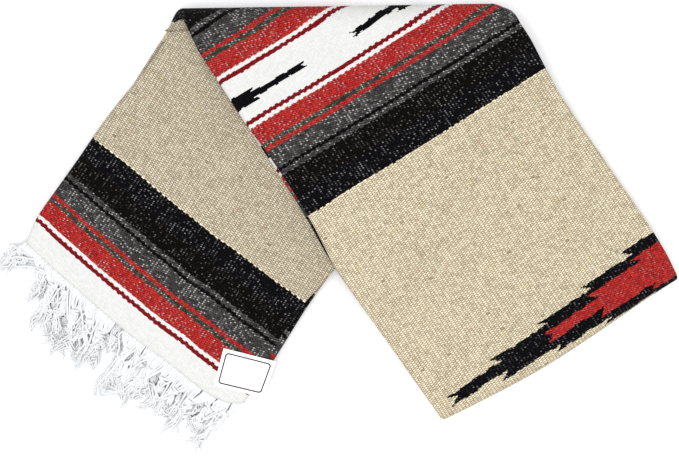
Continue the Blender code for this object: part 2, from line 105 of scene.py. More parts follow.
# Plan of the lower leg from hem (0) to slanting fold (1)
LOWER_LEG = (
    # along, left x, left y, right x, right y
    (0.00, -0.3629, -0.0162, -0.1084, -0.1994),
    (0.10, -0.3512, 0.0107, -0.0781, -0.1567),
    (0.25, -0.3261, 0.0471, -0.0363, -0.0901),
    (0.40, -0.3003, 0.0829, 0.0093, -0.0261),
    (0.55, -0.2750, 0.1191, 0.0527, 0.0396),
    (0.70, -0.2489, 0.1548, 0.0960, 0.1052),
    (0.85, -0.2254, 0.1921, 0.1393, 0.1709),
    (1.00, -0.2019, 0.2285, 0.1820, 0.2350),
)
# Plan of the upper leg from slanting fold (0) to where its end fold starts (1)
UPPER_LEG = (
    # along, left x, left y, right x, right y
    (0.00, -0.1724, 0.2262, 0.2050, 0.2314),
    (0.06, -0.1584, 0.1981, 0.2165, 0.2150),
    (0.15, -0.1324, 0.1579, 0.2325, 0.1893),
    (0.30, -0.0890, 0.0909, 0.2603, 0.1456),
    (0.45, -0.0457, 0.0238, 0.2894, 0.1023),
    (0.60, -0.0058, -0.0453, 0.3191, 0.0594),
    (0.75, 0.0405, -0.1110, 0.3482, 0.0175),
    (0.90, 0.0860, -0.1760, 0.3742, -0.0235),
    (1.00, 0.1128, -0.2135, 0.3868, -0.0487),
)
# How far the cut end and the end fold bow out past a straight line between their corners
HEM_BOW = (
    # across, out
    (0.00, 0.000),
    (0.12, 0.005),
    (0.30, 0.011),
    (0.50, 0.016),
    (0.70, 0.017),
    (0.86, 0.019),
    (0.95, 0.014),
    (1.00, 0.003),
)
NOSE_BOW = (
    # across, out
    (0.00, 0.000),
    (0.20, 0.005),
    (0.42, 0.008),
    (0.68, 0.005),
    (0.88, 0.001),
    (1.00, 0.000),
)
# Share of a leg over which that bow dies away
BOW_FADE = 0.35
# How far the top ply lies inside the plies beneath it
LOWER_INSET = (
    # along, left, right
    (0.00, 0.0000, 0.0000),
    (0.10, 0.0000, 0.0055),
    (0.22, 0.0000, 0.0070),
    (0.34, 0.0000, 0.0000),
    (0.66, 0.0000, 0.0000),
    (0.85, 0.0060, 0.0000),
    (1.00, 0.0070, 0.0000),
)
UPPER_INSET = (
    # along, left, right
    (0.00, 0.0000, 0.0000),
    (0.24, 0.0000, 0.0000),
    (0.32, 0.0026, 0.0000),
    (0.52, 0.0030, 0.0000),
    (0.60, 0.0006, 0.0000),
    (1.00, 0.0000, 0.0000),
)

# Tassels along the cut end, from left to right
TASSELS = (
    # across, drift along the hem, reach
    (0.030, -0.024, 0.038),
    (0.090, 0.018, 0.047),
    (0.155, 0.020, 0.070),
    (0.215, 0.026, 0.086),
    (0.280, 0.022, 0.076),
    (0.340, 0.026, 0.068),
    (0.410, 0.004, 0.032),
    (0.530, 0.002, 0.078),
    (0.585, -0.006, 0.076),
    (0.645, -0.006, 0.068),
    (0.715, -0.002, 0.062),
    (0.780, -0.008, 0.058),
    (0.850, -0.010, 0.062),
    (0.910, -0.008, 0.056),
    (0.965, -0.006, 0.084),
)
# Corners of the label's solid, and those of the label that shows
LABEL_CORNERS = ((-0.1271, -0.1369), (-0.0638, -0.1541), (-0.0765, -0.1965), (-0.1455, -0.1863))
LABEL_SHOWN = ((-0.1336, -0.1386), (-0.0729, -0.1540), (-0.0883, -0.1952), (-0.1449, -0.1818))

# The picture's frame: the camera looks straight down on it
CAMERA_HEIGHT = 1.4
FRAME_WIDTH = 0.796
SENSOR_WIDTH = 36.0
LABEL_LOW = Vector((min(c[0] for c in LABEL_CORNERS), min(c[1] for c in LABEL_CORNERS)))
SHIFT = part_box("label")[0].to_2d() - LABEL_LOW


def srgb(red, green, blue):
    """Scene colour from the 0 to 255 values of a picture."""
    linear = []
    for value in (red, green, blue):
        share = value / 255
        linear.append(share / 12.92 if share <= 0.04045 else ((share + 0.055) / 1.055) ** 2.4)
    return tuple(linear)


def interpolate(rows, at):
    """Smooth values between the rows of a table, found by its first column."""
    keys = [row[0] for row in rows]
    at = min(max(at, keys[0]), keys[-1])
    i = min(bisect.bisect_right(keys, at) - 1, len(rows) - 2)
    span = keys[i + 1] - keys[i]
    t = (at - keys[i]) / span
    values = []
    for column in range(1, len(rows[0])):
        ends = rows[i][column], rows[i + 1][column]
        slopes = [table_slope(rows, k, column) * span for k in (i, i + 1)]
        values.append(
            (2 * t**3 - 3 * t**2 + 1) * ends[0]
            + (t**3 - 2 * t**2 + t) * slopes[0]
            + (3 * t**2 - 2 * t**3) * ends[1]
            + (t**3 - t**2) * slopes[1]
        )
    return values


def table_slope(rows, i, column):
    before = rows[max(i - 1, 0)]
    after = rows[min(i + 1, len(rows) - 1)]
    return (after[column] - before[column]) / (after[0] - before[0])


def ease(t):
    """0 to 1 with a soft start and end."""
    t = min(max(t, 0.0), 1.0)
    return t * t * (3 - 2 * t)


@functools.lru_cache(maxsize=None)
def edges(leg, along):
    """Plan points on the left and right edge of a leg."""
    left_x, left_y, right_x, right_y = interpolate(leg, along)
    return Vector((left_x, left_y)), Vector((right_x, right_y))


@functools.lru_cache(maxsize=None)
def leans(leg, along):
    """How much longer an inset is along the row than square to the left and right edge."""
    step = 0.02
    before = edges(leg, along - step)
    after = edges(leg, along + step)
    left, right = edges(leg, along)
    row = (right - left).normalized()
    found = []
    for start, end in zip(before, after):
        edge = (end - start).normalized()
        found.append(1 / abs(row.x * edge.y - row.y * edge.x))
    return found


@functools.lru_cache(maxsize=None)
def outward(leg, along):
    """Plan direction that leaves the band past its end."""
    left, right = edges(leg, along)
    row = (right - left).normalized()
    return Vector((row.y, -row.x))


def plan(leg, along, side, inset):
    """Plan point of a leg: side runs from 0, left, to 1, right, and inset is square to that edge."""
    left, right = edges(leg, along)
    lean_left, lean_right = leans(leg, along)
    width = (right - left).length
    share = side
    if side == 0:
        share = inset * lean_left / width
    elif side == 1:
        share = 1 - inset * lean_right / width
    point = left.lerp(right, share)
    if leg is LOWER_LEG:
        bow = interpolate(HEM_BOW, share)[0] * (1 - ease(along / BOW_FADE))
        return point + outward(leg, 0) * bow, share
    bow = interpolate(NOSE_BOW, share)[0] * (1 - ease((1 - along) / BOW_FADE))
    return point + outward(leg, 1) * bow, share


def lower_loft(along, share):
    """Height of the lower leg as a share of the stack: it is pressed flatter at the hem."""
    turn = LOWER_WAVE_ACROSS * share + LOWER_WAVE_ALONG * along
    loss = HEM_PRESS + LOWER_WAVE * (0.5 + 0.5 * math.sin(turn))
    return 1 - (1 - ease(along / HEM_PRESS_LENGTH)) * loss


def upper_loft(along, share):
    """Height of the upper leg as a share of the stack, with low soft waves."""
    fade = ease(along / 0.2) * ease((1 - along) / 0.12)
    turn = UPPER_WAVE_ACROSS * share + UPPER_WAVE_ALONG * along
    return 1 + fade * (UPPER_WAVE * math.sin(turn) - UPPER_PRESS)


def past_lower_leg(point):
    """Plan distance of a point to the right of the lower leg's right edge."""
    start = edges(LOWER_LEG, 0.25)[1]
    end = edges(LOWER_LEG, 1.0)[1]
    along = (end - start).normalized()
    return (point - start).dot(Vector((along.y, -along.x)))


def support(point, along):
    """Height of the upper leg's underside: on the lower leg, then down to the floor."""
    held = STACK + REST_GAP
    held += (2 * CREASE_RADIUS - REST_GAP) * (1 - ease(along / SETTLE_SHARE))
    clear = (edges(UPPER_LEG, along)[0] - edges(UPPER_LEG, 0)[0]).length / DROP_RUN
    drop = ease((past_lower_leg(point) - DROP_START) / DROP_LENGTH) * ease(clear)
    return held * (1 - drop)


def place(station, side, inset, level):
    """Point in the stack. Level runs from 0, the lower leg's top, to STACK, its underside."""
    kind, along, angle = station
    if kind == "lower":
        point, share = plan(LOWER_LEG, along, side, inset)
        return Vector((point.x, point.y, lower_loft(along, share) * (STACK - level)))
    if kind == "fold":
        before = plan(LOWER_LEG, 1, side, inset)[0]
        after, share = plan(UPPER_LEG, 0, side, inset)
        point = before.lerp(after, angle / math.pi)
        radius = CREASE_RADIUS + level
        loss = SHOULDER_LOSS * max(0.0, share - SHOULDER) / (1 - SHOULDER)
        bulge = radius * math.sin(angle) * (1 - loss)
        height = STACK + CREASE_RADIUS - radius * math.cos(angle)
        return Vector((point.x, point.y + bulge, height))
    point, share = plan(UPPER_LEG, along, side, inset)
    out = 0.0
    if kind == "nose":
        reach = level - STACK / 2
        out = abs(reach) * math.sin(angle)
        level = STACK / 2 + reach * math.cos(angle)
    height = support(point, along) + upper_loft(along, share) * level
    point = point + outward(UPPER_LEG, 1) * out
    return Vector((point.x, point.y, height))


def shares(first, last, steps):
    return [first + (last - first) * i / steps for i in range(steps + 1)]


def leg_share(leg, distance):
    """A distance along a leg as a share of the leg's length."""
    return distance / (edges(leg, 1)[0] - edges(leg, 0)[0]).length


# How far the stripes bow away from straight lines, in metres
LOWER_STRIPE_BOW = (
    # across, by the hem, by the tan field
    (-0.150, 0.0080, -0.0006),
    (-0.117, 0.0068, -0.0006),
    (-0.084, 0.0041, -0.0005),
    (-0.056, 0.0026, -0.0009),
    (-0.028, 0.0015, -0.0012),
    (0.000, 0.0006, -0.0020),
    (0.028, 0.0003, -0.0018),
    (0.056, -0.0003, -0.0022),
    (0.084, 0.0009, -0.0003),
    (0.112, 0.0011, 0.0002),
    (0.140, 0.0014, 0.0005),
    (0.164, 0.0020, 0.0027),
)
UPPER_STRIPE_BOW = (
    # across, by the white middle, by the tan field
    (-0.141, -0.0023, 0.0009),
    (-0.106, -0.0014, 0.0004),
    (-0.070, -0.0003, 0.0006),
    (-0.035, -0.0005, 0.0014),
    (0.000, 0.0000, 0.0017),
    (0.035, -0.0003, 0.0014),
    (0.070, 0.0001, 0.0014),
    (0.106, 0.0009, 0.0016),
    (0.141, 0.0006, 0.0014),
)

# Where a point of each leg lay on the loom. The picture's own lines are straight, so the stripes
# are set out on the picture's plane: base point, weft direction and warp direction there.
LOWER_LOOM = {
    "base": Vector((-0.25807, -0.07559)),
    "weft": Vector((0.783, -0.622)),
    "warp": Vector((0.559, 0.829)),
    "across": 0.1289,
    "along": 0.0336,
    "scale": 1 - STACK / CAMERA_HEIGHT,
    "bow": LOWER_STRIPE_BOW,
    "bow_from": 0.0,
    "bow_length": 0.124,
}
UPPER_LOOM = {
    "base": Vector((0.09651, 0.09780)),
    "weft": Vector((0.8480, 0.5299)),
    "warp": Vector((0.559, -0.829)),
    "across": 0.1606,
    "along": 0.6470,
    "scale": 1 - 2 * STACK / CAMERA_HEIGHT,
    "bow": UPPER_STRIPE_BOW,
    "bow_from": -0.115,
    "bow_length": 0.115,
}
# The slanting fold is pressed flatter than a round one, so its stripes run on straight for longer
FOLD_FLATNESS = 0.5
# The lower leg stays in its tan field up to the crease
FOLD_FIELD = 0.335


def on_loom(loom, point, height):
    """Across and along the cloth, in metres, of a plan point at a height."""
    seen = point / (1 - height / CAMERA_HEIGHT) - loom["base"]
    weft = loom["weft"]
    warp = loom["warp"]
    cross = weft.x * warp.y - weft.y * warp.x
    across = (seen.x * warp.y - seen.y * warp.x) / cross
    along = (weft.x * seen.y - weft.y * seen.x) / cross
    first, last = interpolate(loom["bow"], across)
    share = min(max((along - loom["bow_from"]) / loom["bow_length"], 0.0), 1.0)
    along -= first + (last - first) * share
    length = loom["along"] + along * loom["scale"]
    if loom is LOWER_LOOM and length > FOLD_FIELD:
        length = 2 * FOLD_FIELD - length
    return (across + loom["across"]) * loom["scale"], length


def unrolled(station, side, inset, top):
    """Across and along the cloth for a station and an inset measured over the cloth itself."""
    kind, along, angle = station
    if kind == "lower" and top:
        point, share = plan(LOWER_LEG, along, side, inset)
        return on_loom(LOWER_LOOM, point, lower_loft(along, share) * STACK)
    if kind in ("lower", "fold"):
        point = plan(UPPER_LEG, 0, side, inset)[0]
        back = (1 - along) / leg_share(LOWER_LEG, 1.0) if kind == "lower" else 0.0
        turned = math.pi - (angle if kind == "fold" else 0.0)
        flat = math.sin(min(turned, math.pi / 2)) + max(turned - math.pi / 2, 0.0)
        turned += (flat - turned) * FOLD_FLATNESS
        point = point + Vector((0.0, (CREASE_RADIUS + STACK) * turned + back))
        return on_loom(UPPER_LOOM, point, 2 * STACK)
    under = kind == "upper" and top
    point, share = plan(UPPER_LEG, 1.0 if under else along, side, inset)
    height = support(point, along) + upper_loft(along, share) * STACK
    past = STACK / 2 * (math.pi if under else angle)
    if under:
        past += (1 - along) / leg_share(UPPER_LEG, 1.0)
    return on_loom(UPPER_LOOM, point + outward(UPPER_LEG, 1) * past, height)


# Cloth walls

WALL_ARC = 9
WALL_COLUMNS = 92
# The top's columns start past the arc of a fold: by its own size, and by a share of the width
ARC_ROOM = 1.2
ARC_GAP = 0.006
# Columns over which the relief dies away towards a wall's edges
RELIEF_FADE = 14
# Height of the relief's slow and fast waves
RELIEF_SLOW = 0.0007
RELIEF_FAST = 0.00016


def wrap(side, size, inset):
    """The part of a cloth wall that wraps a side fold, from its lip under the fold to the top."""
    half = size / 2
    turn = math.pi * half
    spots = [(side, inset + half + LIP, size, inset + half - turn - LIP)]
    for i in range(WALL_ARC + 1):
        angle = math.pi * (i / WALL_ARC - 0.5)
        spots.append(
            (
                side,
                inset + half - half * math.cos(angle),
                half - half * math.sin(angle),
                inset + half - half * (math.pi / 2 - angle),
            )
        )
    return spots


def wall_section(inset_left, inset_right):
    """Outer line of a cloth wall: (side, inset, depth, inset over the cloth) from left to right."""
    start = ARC_ROOM * (inset_left + LEFT_LOBE / 2) / BAND_WIDTH
    end = 1 - ARC_ROOM * (inset_right + RIGHT_LOBE / 2) / BAND_WIDTH
    across = shares(start + ARC_GAP, end - ARC_GAP, WALL_COLUMNS)
    top = [(share, 0.0, 0.0, 0.0) for share in across]
    return wrap(0, LEFT_LOBE, inset_left) + top + wrap(1, RIGHT_LOBE, inset_right)[::-1]


def soft_relief(across, along):
    """Height of the cloth's own soft unevenness at a place."""
    slow = noise.noise(Vector((across * 14, along * 14, 3.1)))
    fast = noise.noise(Vector((across * 45, along * 38, 8.4)))
    return RELIEF_SLOW * slow + RELIEF_FAST * fast


def lay_cloth(name, stations, insets, flip):
    """A cloth wall from a grid: every point is placed in the fold, and keeps its place on the loom."""
    sections = [wall_section(*inset) for inset in insets]
    columns = len(sections[0]) - 1
    rows = len(stations) - 1
    bpy.ops.object.select_all(action="DESELECT")
    bpy.ops.mesh.primitive_grid_add(x_subdivisions=columns, y_subdivisions=rows, size=2.0)
    piece = bpy.context.object
    piece.name = name
    mesh = piece.data
    mesh.name = name
    loom = []
    for vertex in mesh.vertices:
        i = round((vertex.co.x + 1) / 2 * columns)
        j = round((vertex.co.y + 1) / 2 * rows)
        station, top = stations[j]
        side, inset, depth, over = sections[j][i]
        level = depth if top else STACK - depth
        point = place(station, side, inset, level)
        across, along = unrolled(station, side, over, top)
        fade = ease(min(i, columns - i) / RELIEF_FADE)
        if station[0] != "nose" and not (station[0] == "upper" and top):
            point.z = max(point.z + fade * soft_relief(across, along), 0.0)
        vertex.co = point + Vector((SHIFT.x, SHIFT.y, 0.0))
        loom.append((across, along))
    for layer in list(mesh.uv_layers):
        mesh.uv_layers.remove(layer)
    layer = mesh.uv_layers.new(name="loom")
    for loop in mesh.loops:
        layer.data[loop.index].uv = loom[loop.vertex_index]
    if flip:
        bpy.ops.object.mode_set(mode="EDIT")
        bpy.ops.mesh.select_all(action="SELECT")
        bpy.ops.mesh.flip_normals()
        bpy.ops.object.mode_set(mode="OBJECT")
    thicken = piece.modifiers.new("cloth", "SOLIDIFY")
    thicken.thickness = SHEET
    thicken.offset = -1.0
    bpy.ops.object.modifier_apply(modifier=thicken.name)
    bpy.ops.object.shade_smooth()
    return piece


LAYER_COLUMNS = 16
LOBE_POINTS = 12
# Profile of a ply's cut edge: share of its thickness, and how deep the groove is there
PLY_PROFILE = ((0.04, 1.0), (0.12, 0.45), (0.28, 0.08), (0.5, 0.0), (0.72, 0.08), (0.88, 0.45))


def layer_section(cover_top, cover_under, top_insets, under_insets):
    """Section of the hidden plies: (side, inset, level), down the left side and back up the right."""
    cover = WALL + LAYER_GAP
    low = cover if cover_top else 0.0
    high = STACK - cover if cover_under else STACK
    half = STACK / 2
    gap = SEAM_GAP / 2
    left = lobe(0, LEFT_LOBE, (low, half - gap), cover_top, top_insets[0])
    left += lobe(0, LEFT_LOBE, (half + gap, high), cover_under, under_insets[0])
    ply = 2 * PLY_PITCH
    clear = ply + 2 * SEAM_GAP
    right = lobe(1, RIGHT_LOBE, (low, clear if cover_top else ply), cover_top, top_insets[1])
    right += ply_ends((clear, STACK - clear))
    under = STACK - (clear if cover_under else ply)
    right += lobe(1, RIGHT_LOBE, (under, high), cover_under, under_insets[1])
    inset = max(top_insets[1], under_insets[1])
    across = [column / LAYER_COLUMNS for column in range(1, LAYER_COLUMNS)]
    across += [SHOULDER, EDGE_COLUMN - inset / BAND_WIDTH]
    bottom = [(share, 0.0, high) for share in across]
    top = [(share, 0.0, low) for share in reversed(across)]
    return left + bottom + right[::-1] + top


def lobe(side, size, levels, covered, inset):
    """Edge points of the hidden plies on one fold: round, or held back under a wall."""
    start, end = levels
    points = []
    for i in range(LOBE_POINTS):
        t = i / (LOBE_POINTS - 1)
        if covered:
            points.append((side, inset + size / 2 + LIP + STEP_ROOM, start + (end - start) * t))
        else:
            angle = math.pi * (t - 0.5)
            middle = (start + end) / 2
            half = (end - start) / 2
            points.append((side, size / 2 * (1 - math.cos(angle)), middle + half * math.sin(angle)))
    return points


def ply_ends(levels):
    """Edge points of the cut plies that show between the two folds on the right."""
    first, last = levels
    count = round((last - first) / PLY_PITCH)
    pitch = (last - first) / count
    points = []
    for ply in range(count):
        for share, depth in PLY_PROFILE:
            inset = PLY_ROUND + (PLY_NOTCH - PLY_ROUND) * depth
            points.append((1, inset, first + (ply + share) * pitch))
    return points + [(1, PLY_NOTCH, last - PLY_PROFILE[0][0] * pitch)]


def add_rings(mesh, layer, rings):
    """Quads between closed rings of (point, place on the loom)."""
    rows = [[mesh.verts.new(spot[0]) for spot in ring] for ring in rings]
    count = len(rings[0])
    for j in range(len(rows) - 1):
        for i in range(count):
            k = (i + 1) % count
            corners = ((j, i), (j, k), (j + 1, k), (j + 1, i))
            face = mesh.faces.new([rows[row][column] for row, column in corners])
            face.smooth = True
            for loop, (row, column) in zip(face.loops, corners):
                loop[layer].uv = rings[row][column][1]
    return rows


def finish_mesh(name, mesh):
    """An object from a mesh in progress, its normals facing out."""
    bmesh.ops.recalc_face_normals(mesh, faces=mesh.faces)
    data = bpy.data.meshes.new(name)
    mesh.to_mesh(data)
    mesh.free()
    piece = bpy.data.objects.new(name, data)
    bpy.context.scene.collection.objects.link(piece)
    return piece


# Materials


class Graph:
    """Adds nodes to a node tree in few words."""

    def __init__(self, tree):
        self.tree = tree

    def feed(self, socket, value):
        if isinstance(value, bpy.types.NodeSocket):
            self.tree.links.new(value, socket)
        elif isinstance(value, (tuple, list)) and len(value) == 3 and socket.type == "RGBA":
            socket.default_value = (*value, 1.0)
        else:
            socket.default_value = value

    def node(self, kind, inputs=(), **settings):
        made = self.tree.nodes.new(kind)
        for name, value in settings.items():
            setattr(made, name, value)
        for name, value in dict(inputs).items():
            self.feed(made.inputs[name], value)
        return made

    def calc(self, operation, *values):
        made = self.tree.nodes.new("ShaderNodeMath")
        made.operation = operation
        for socket, value in zip(made.inputs, values):
            self.feed(socket, value)
        return made.outputs[0]

    def mix(self, factor, first, second, blend="MIX"):
        made = self.tree.nodes.new("ShaderNodeMix")
        made.data_type = "RGBA"
        made.blend_type = blend
        self.feed(made.inputs[0], factor)
        self.feed(made.inputs[6], first)
        self.feed(made.inputs[7], second)
        return made.outputs[2]

    def ramp(self, value, stops):
        made = self.tree.nodes.new("ShaderNodeValToRGB")
        made.color_ramp.interpolation = "CONSTANT"
        elements = made.color_ramp.elements
        while len(elements) > 1:
            elements.remove(elements[-1])
        elements[0].position = stops[0][0]
        elements[0].color = (*stops[0][1], 1.0)
        for position, colour in stops[1:]:
            elements.new(position).color = (*colour, 1.0)
        self.feed(made.inputs[0], value)
        return made.outputs[0]

    def noise(self, vector, scale, detail=2.0, roughness=0.5):
        made = self.tree.nodes.new("ShaderNodeTexNoise")
        made.noise_dimensions = "2D"
        self.feed(made.inputs["Vector"], vector)
        made.inputs["Scale"].default_value = scale
        made.inputs["Detail"].default_value = detail
        made.inputs["Roughness"].default_value = roughness
        return made.outputs["Fac"]

    def vector(self, x, y):
        made = self.tree.nodes.new("ShaderNodeCombineXYZ")
        self.feed(made.inputs[0], x)
        self.feed(made.inputs[1], y)
        return made.outputs[0]

    def split(self, vector):
        made = self.node("ShaderNodeSeparateXYZ", {"Vector": vector})
        return made.outputs["X"], made.outputs["Y"]

    def random(self, x, y):
        made = self.tree.nodes.new("ShaderNodeTexWhiteNoise")
        made.noise_dimensions = "2D"
        self.feed(made.inputs["Vector"], self.vector(x, y))
        return made.outputs["Value"]

    def bump(self, shader, height, strength, distance):
        inputs = {"Strength": strength, "Distance": distance, "Height": height}
        self.feed(shader.inputs["Normal"], self.node("ShaderNodeBump", inputs).outputs[0])


def new_material(name):
    """A new node material and its shader."""
    material = bpy.data.materials.new(name)
    material.use_nodes = True
    return material, material.node_tree.nodes["Principled BSDF"]


def new_group(name, inputs, outputs):
    """A shader node group with named sockets, and its graph."""
    tree = bpy.data.node_groups.new(name, "ShaderNodeTree")
    for label, kind, default in inputs:
        socket = tree.interface.new_socket(name=label, in_out="INPUT", socket_type=kind)
        if default is not None:
            socket.default_value = default
    for label, kind in outputs:
        tree.interface.new_socket(name=label, in_out="OUTPUT", socket_type=kind)
    graph = Graph(tree)
    return tree, graph, tree.nodes.new("NodeGroupInput"), tree.nodes.new("NodeGroupOutput")


# Unevenness of the weave: scale of the noise, and its reach across or along
RIB_SWAY = (40.0, 0.0016)
PICK_WANDER = (60.0, 0.0012)
# How far the picks' own places lie back from the middles of the floats
PLACE_BACK = 0.0006
# The warp that shows in a groove: half its width in ribs, and its share of a float's length
WARP_WIDTH = 0.19
WARP_LENGTH = 0.55
# It shows in patches, by the scale, contrast and offset of their noise, and brighter or fainter
WARP_PATCHES = (50.0, 1.3, -0.12)
WARP_FAINTEST = 0.06


def weave_group(settings):
    """Floats of a weft-faced plain weave: column beside column, every second one half a float on."""
    tree, graph, given, out = new_group(
        "weft_faced_weave",
        (
            ("Loom", "NodeSocketVector", None),
            ("Rib pitch", "NodeSocketFloat", settings.rib_pitch),
            ("Float length", "NodeSocketFloat", settings.float_length),
        ),
        (
            ("Place", "NodeSocketVector"),
            ("Cell", "NodeSocketFloat"),
            ("Pick", "NodeSocketFloat"),
            ("Height", "NodeSocketFloat"),
            ("Warp", "NodeSocketFloat"),
        ),
    )
    loom = given.outputs["Loom"]
    pitch = given.outputs["Rib pitch"]
    length = given.outputs["Float length"]
    across, along = graph.split(loom)
    sway = graph.calc("MULTIPLY_ADD", graph.noise(loom, RIB_SWAY[0], 1.0), RIB_SWAY[1], across)
    wander = graph.calc("MULTIPLY_ADD", graph.noise(loom, PICK_WANDER[0], 1.0), PICK_WANDER[1], along)
    column = graph.calc("DIVIDE", sway, pitch)
    rib = graph.calc("FLOOR", column)
    parity = graph.calc("FRACT", graph.calc("MULTIPLY", rib, 0.5))
    row = graph.calc("ADD", graph.calc("DIVIDE", wander, length), parity)
    pick = graph.calc("FLOOR", row)
    middle = graph.calc("SUBTRACT", graph.calc("ADD", pick, 0.5), parity)
    place_across = graph.calc("MULTIPLY", graph.calc("ADD", rib, 0.5), pitch)
    place_along = graph.calc("SUBTRACT", graph.calc("MULTIPLY", middle, length), PLACE_BACK)
    graph.feed(out.inputs["Place"], graph.vector(place_across, place_along))
    over = graph.calc("SINE", graph.calc("MULTIPLY", graph.calc("FRACT", column), math.pi))
    lie = graph.calc("SINE", graph.calc("MULTIPLY", graph.calc("FRACT", row), math.pi))
    height = graph.calc("MULTIPLY", lie, graph.calc("MULTIPLY_ADD", over, 0.5, 0.5))
    graph.feed(out.inputs["Height"], height)
    graph.feed(out.inputs["Cell"], graph.random(rib, pick))
    graph.feed(out.inputs["Pick"], graph.random(3.0, pick))
    # The white warp can be seen in the grooves, between one float and the next
    near = graph.calc("LESS_THAN", graph.calc("PINGPONG", column, 0.5), WARP_WIDTH)
    groove = graph.calc("FLOOR", graph.calc("ADD", column, 0.5))
    spot = graph.calc("FRACT", graph.calc("MULTIPLY", groove, 0.5))
    spot = graph.calc("ADD", graph.calc("DIVIDE", wander, length), spot)
    gap = graph.calc("LESS_THAN", graph.calc("FRACT", spot), WARP_LENGTH)
    gap = graph.calc("MULTIPLY", near, gap)
    lot = graph.random(groove, graph.calc("FLOOR", spot))
    scale, contrast, offset = WARP_PATCHES
    patch = graph.calc("MULTIPLY_ADD", graph.noise(loom, scale, 2.0), contrast, offset)
    bright = graph.calc("FRACT", graph.calc("MULTIPLY", lot, 37.0))
    bright = graph.calc("POWER", bright, 2.0)
    bright = graph.calc("MULTIPLY_ADD", bright, 1 - WARP_FAINTEST, WARP_FAINTEST)
    shown = graph.calc("MULTIPLY", graph.calc("LESS_THAN", lot, patch), bright)
    graph.feed(out.inputs["Warp"], graph.calc("MULTIPLY", gap, shown))
    return tree


# Stripes from a tan field inwards, by where each starts, in metres
BORDER = (
    # start, colour, second colour, flecks
    (0.0000, "blue_black", "soft_black", 0.50),
    (0.0265, "brown_black", "soft_black", 0.32),
    (0.0530, "grey", "dark_grey", 1.70),
    (0.0582, "brown_black", "blue_black", 0.10),
    (0.0625, "grey", "dark_grey", 2.00),
    (0.0835, "red", "orange_red", 0.40),
    (0.0885, "heather", "dark_grey", 1.60),
    (0.0942, "red", "orange_red", 0.90),
    (0.1152, "white", "shade_white", 0.0),
    (0.1199, "red", "dark_red", 0.05),
    (0.1245, "white", "shade_white", 0.0),
)
BORDER_SPAN = 0.16
# Width of the tan field's own edge in the colour ramps
TAN_EDGE = 0.0006
HEM_GROUP_END = 0.1558
CENTRE_START = 0.3460
CENTRE_END = 0.6470
# How far a stripe's edge wanders, and how much of a float's own slope it follows
STRIPE_WANDER = 0.0018
STRIPE_SLOPE = 0.35

# The figures are stepped as tapestry is: sizes of a step, and how ragged and wavy the steps are
STEP_ACROSS = 0.0013
STEP_ALONG = 0.0012
STEP_RAGGED = 0.0030
STEP_WAVY = 0.0044
FIGURE_FLECKS = 0.35
# Stepped figures: bars along the weft, mirrored about their own middle line
BIG_FIGURE_LINE = 0.9103
BIG_FIGURE_TILT = -0.027
BIG_FIGURE = (
    # from, to, half height, notch at the start, notch at the end
    (0.0147, 0.60, 0.0063, 0.015, 0.0),
    (0.0804, 0.60, 0.0137, 0.024, 0.0),
    (0.1476, 0.60, 0.0198, 0.040, 0.0),
    (0.2118, 0.60, 0.0263, 0.050, 0.0),
    (0.2707, 0.60, 0.0340, 0.054, 0.0),
)
BIG_FIGURE_HEART = (
    # from, to, half height, notch at the start, notch at the end
    (0.1487, 0.60, 0.0057, 0.009, 0.0),
    (0.2135, 0.60, 0.0148, 0.018, 0.0),
    (0.2770, 0.60, 0.0215, 0.032, 0.0),
)
SMALL_FIGURE_EVERY = 0.2549
SMALL_FIGURE_LINE = (CENTRE_START + CENTRE_END) / 2 + 0.0025
SMALL_FIGURE = (
    # from, to, half height, notch at the start, notch at the end
    (-0.0985, 0.0985, 0.0034, 0.007, 0.007),
    (-0.0340, 0.0340, 0.0078, 0.012, 0.012),
)


def yarn(name):
    """A yarn's colour, from the settings."""
    return tuple(getattr(bpy.context.scene.serape_yarns, name))


def figure_mask(graph, across, off, bars):
    """1 inside any of the bars of a figure. Off is the distance from its middle line."""
    best = None
    for start, end, half, start_notch, end_notch in bars:
        inside = graph.calc("SUBTRACT", half, off)
        for edge, sign, notch in ((start, 1.0, start_notch), (end, -1.0, end_notch)):
            past = graph.calc("MULTIPLY_ADD", across, sign, -sign * edge - notch)
            reach = graph.calc("MULTIPLY_ADD", off, notch / half, past)
            inside = graph.calc("MINIMUM", inside, reach)
        best = inside if best is None else graph.calc("MAXIMUM", best, inside)
    return graph.calc("GREATER_THAN", best, 0.0)


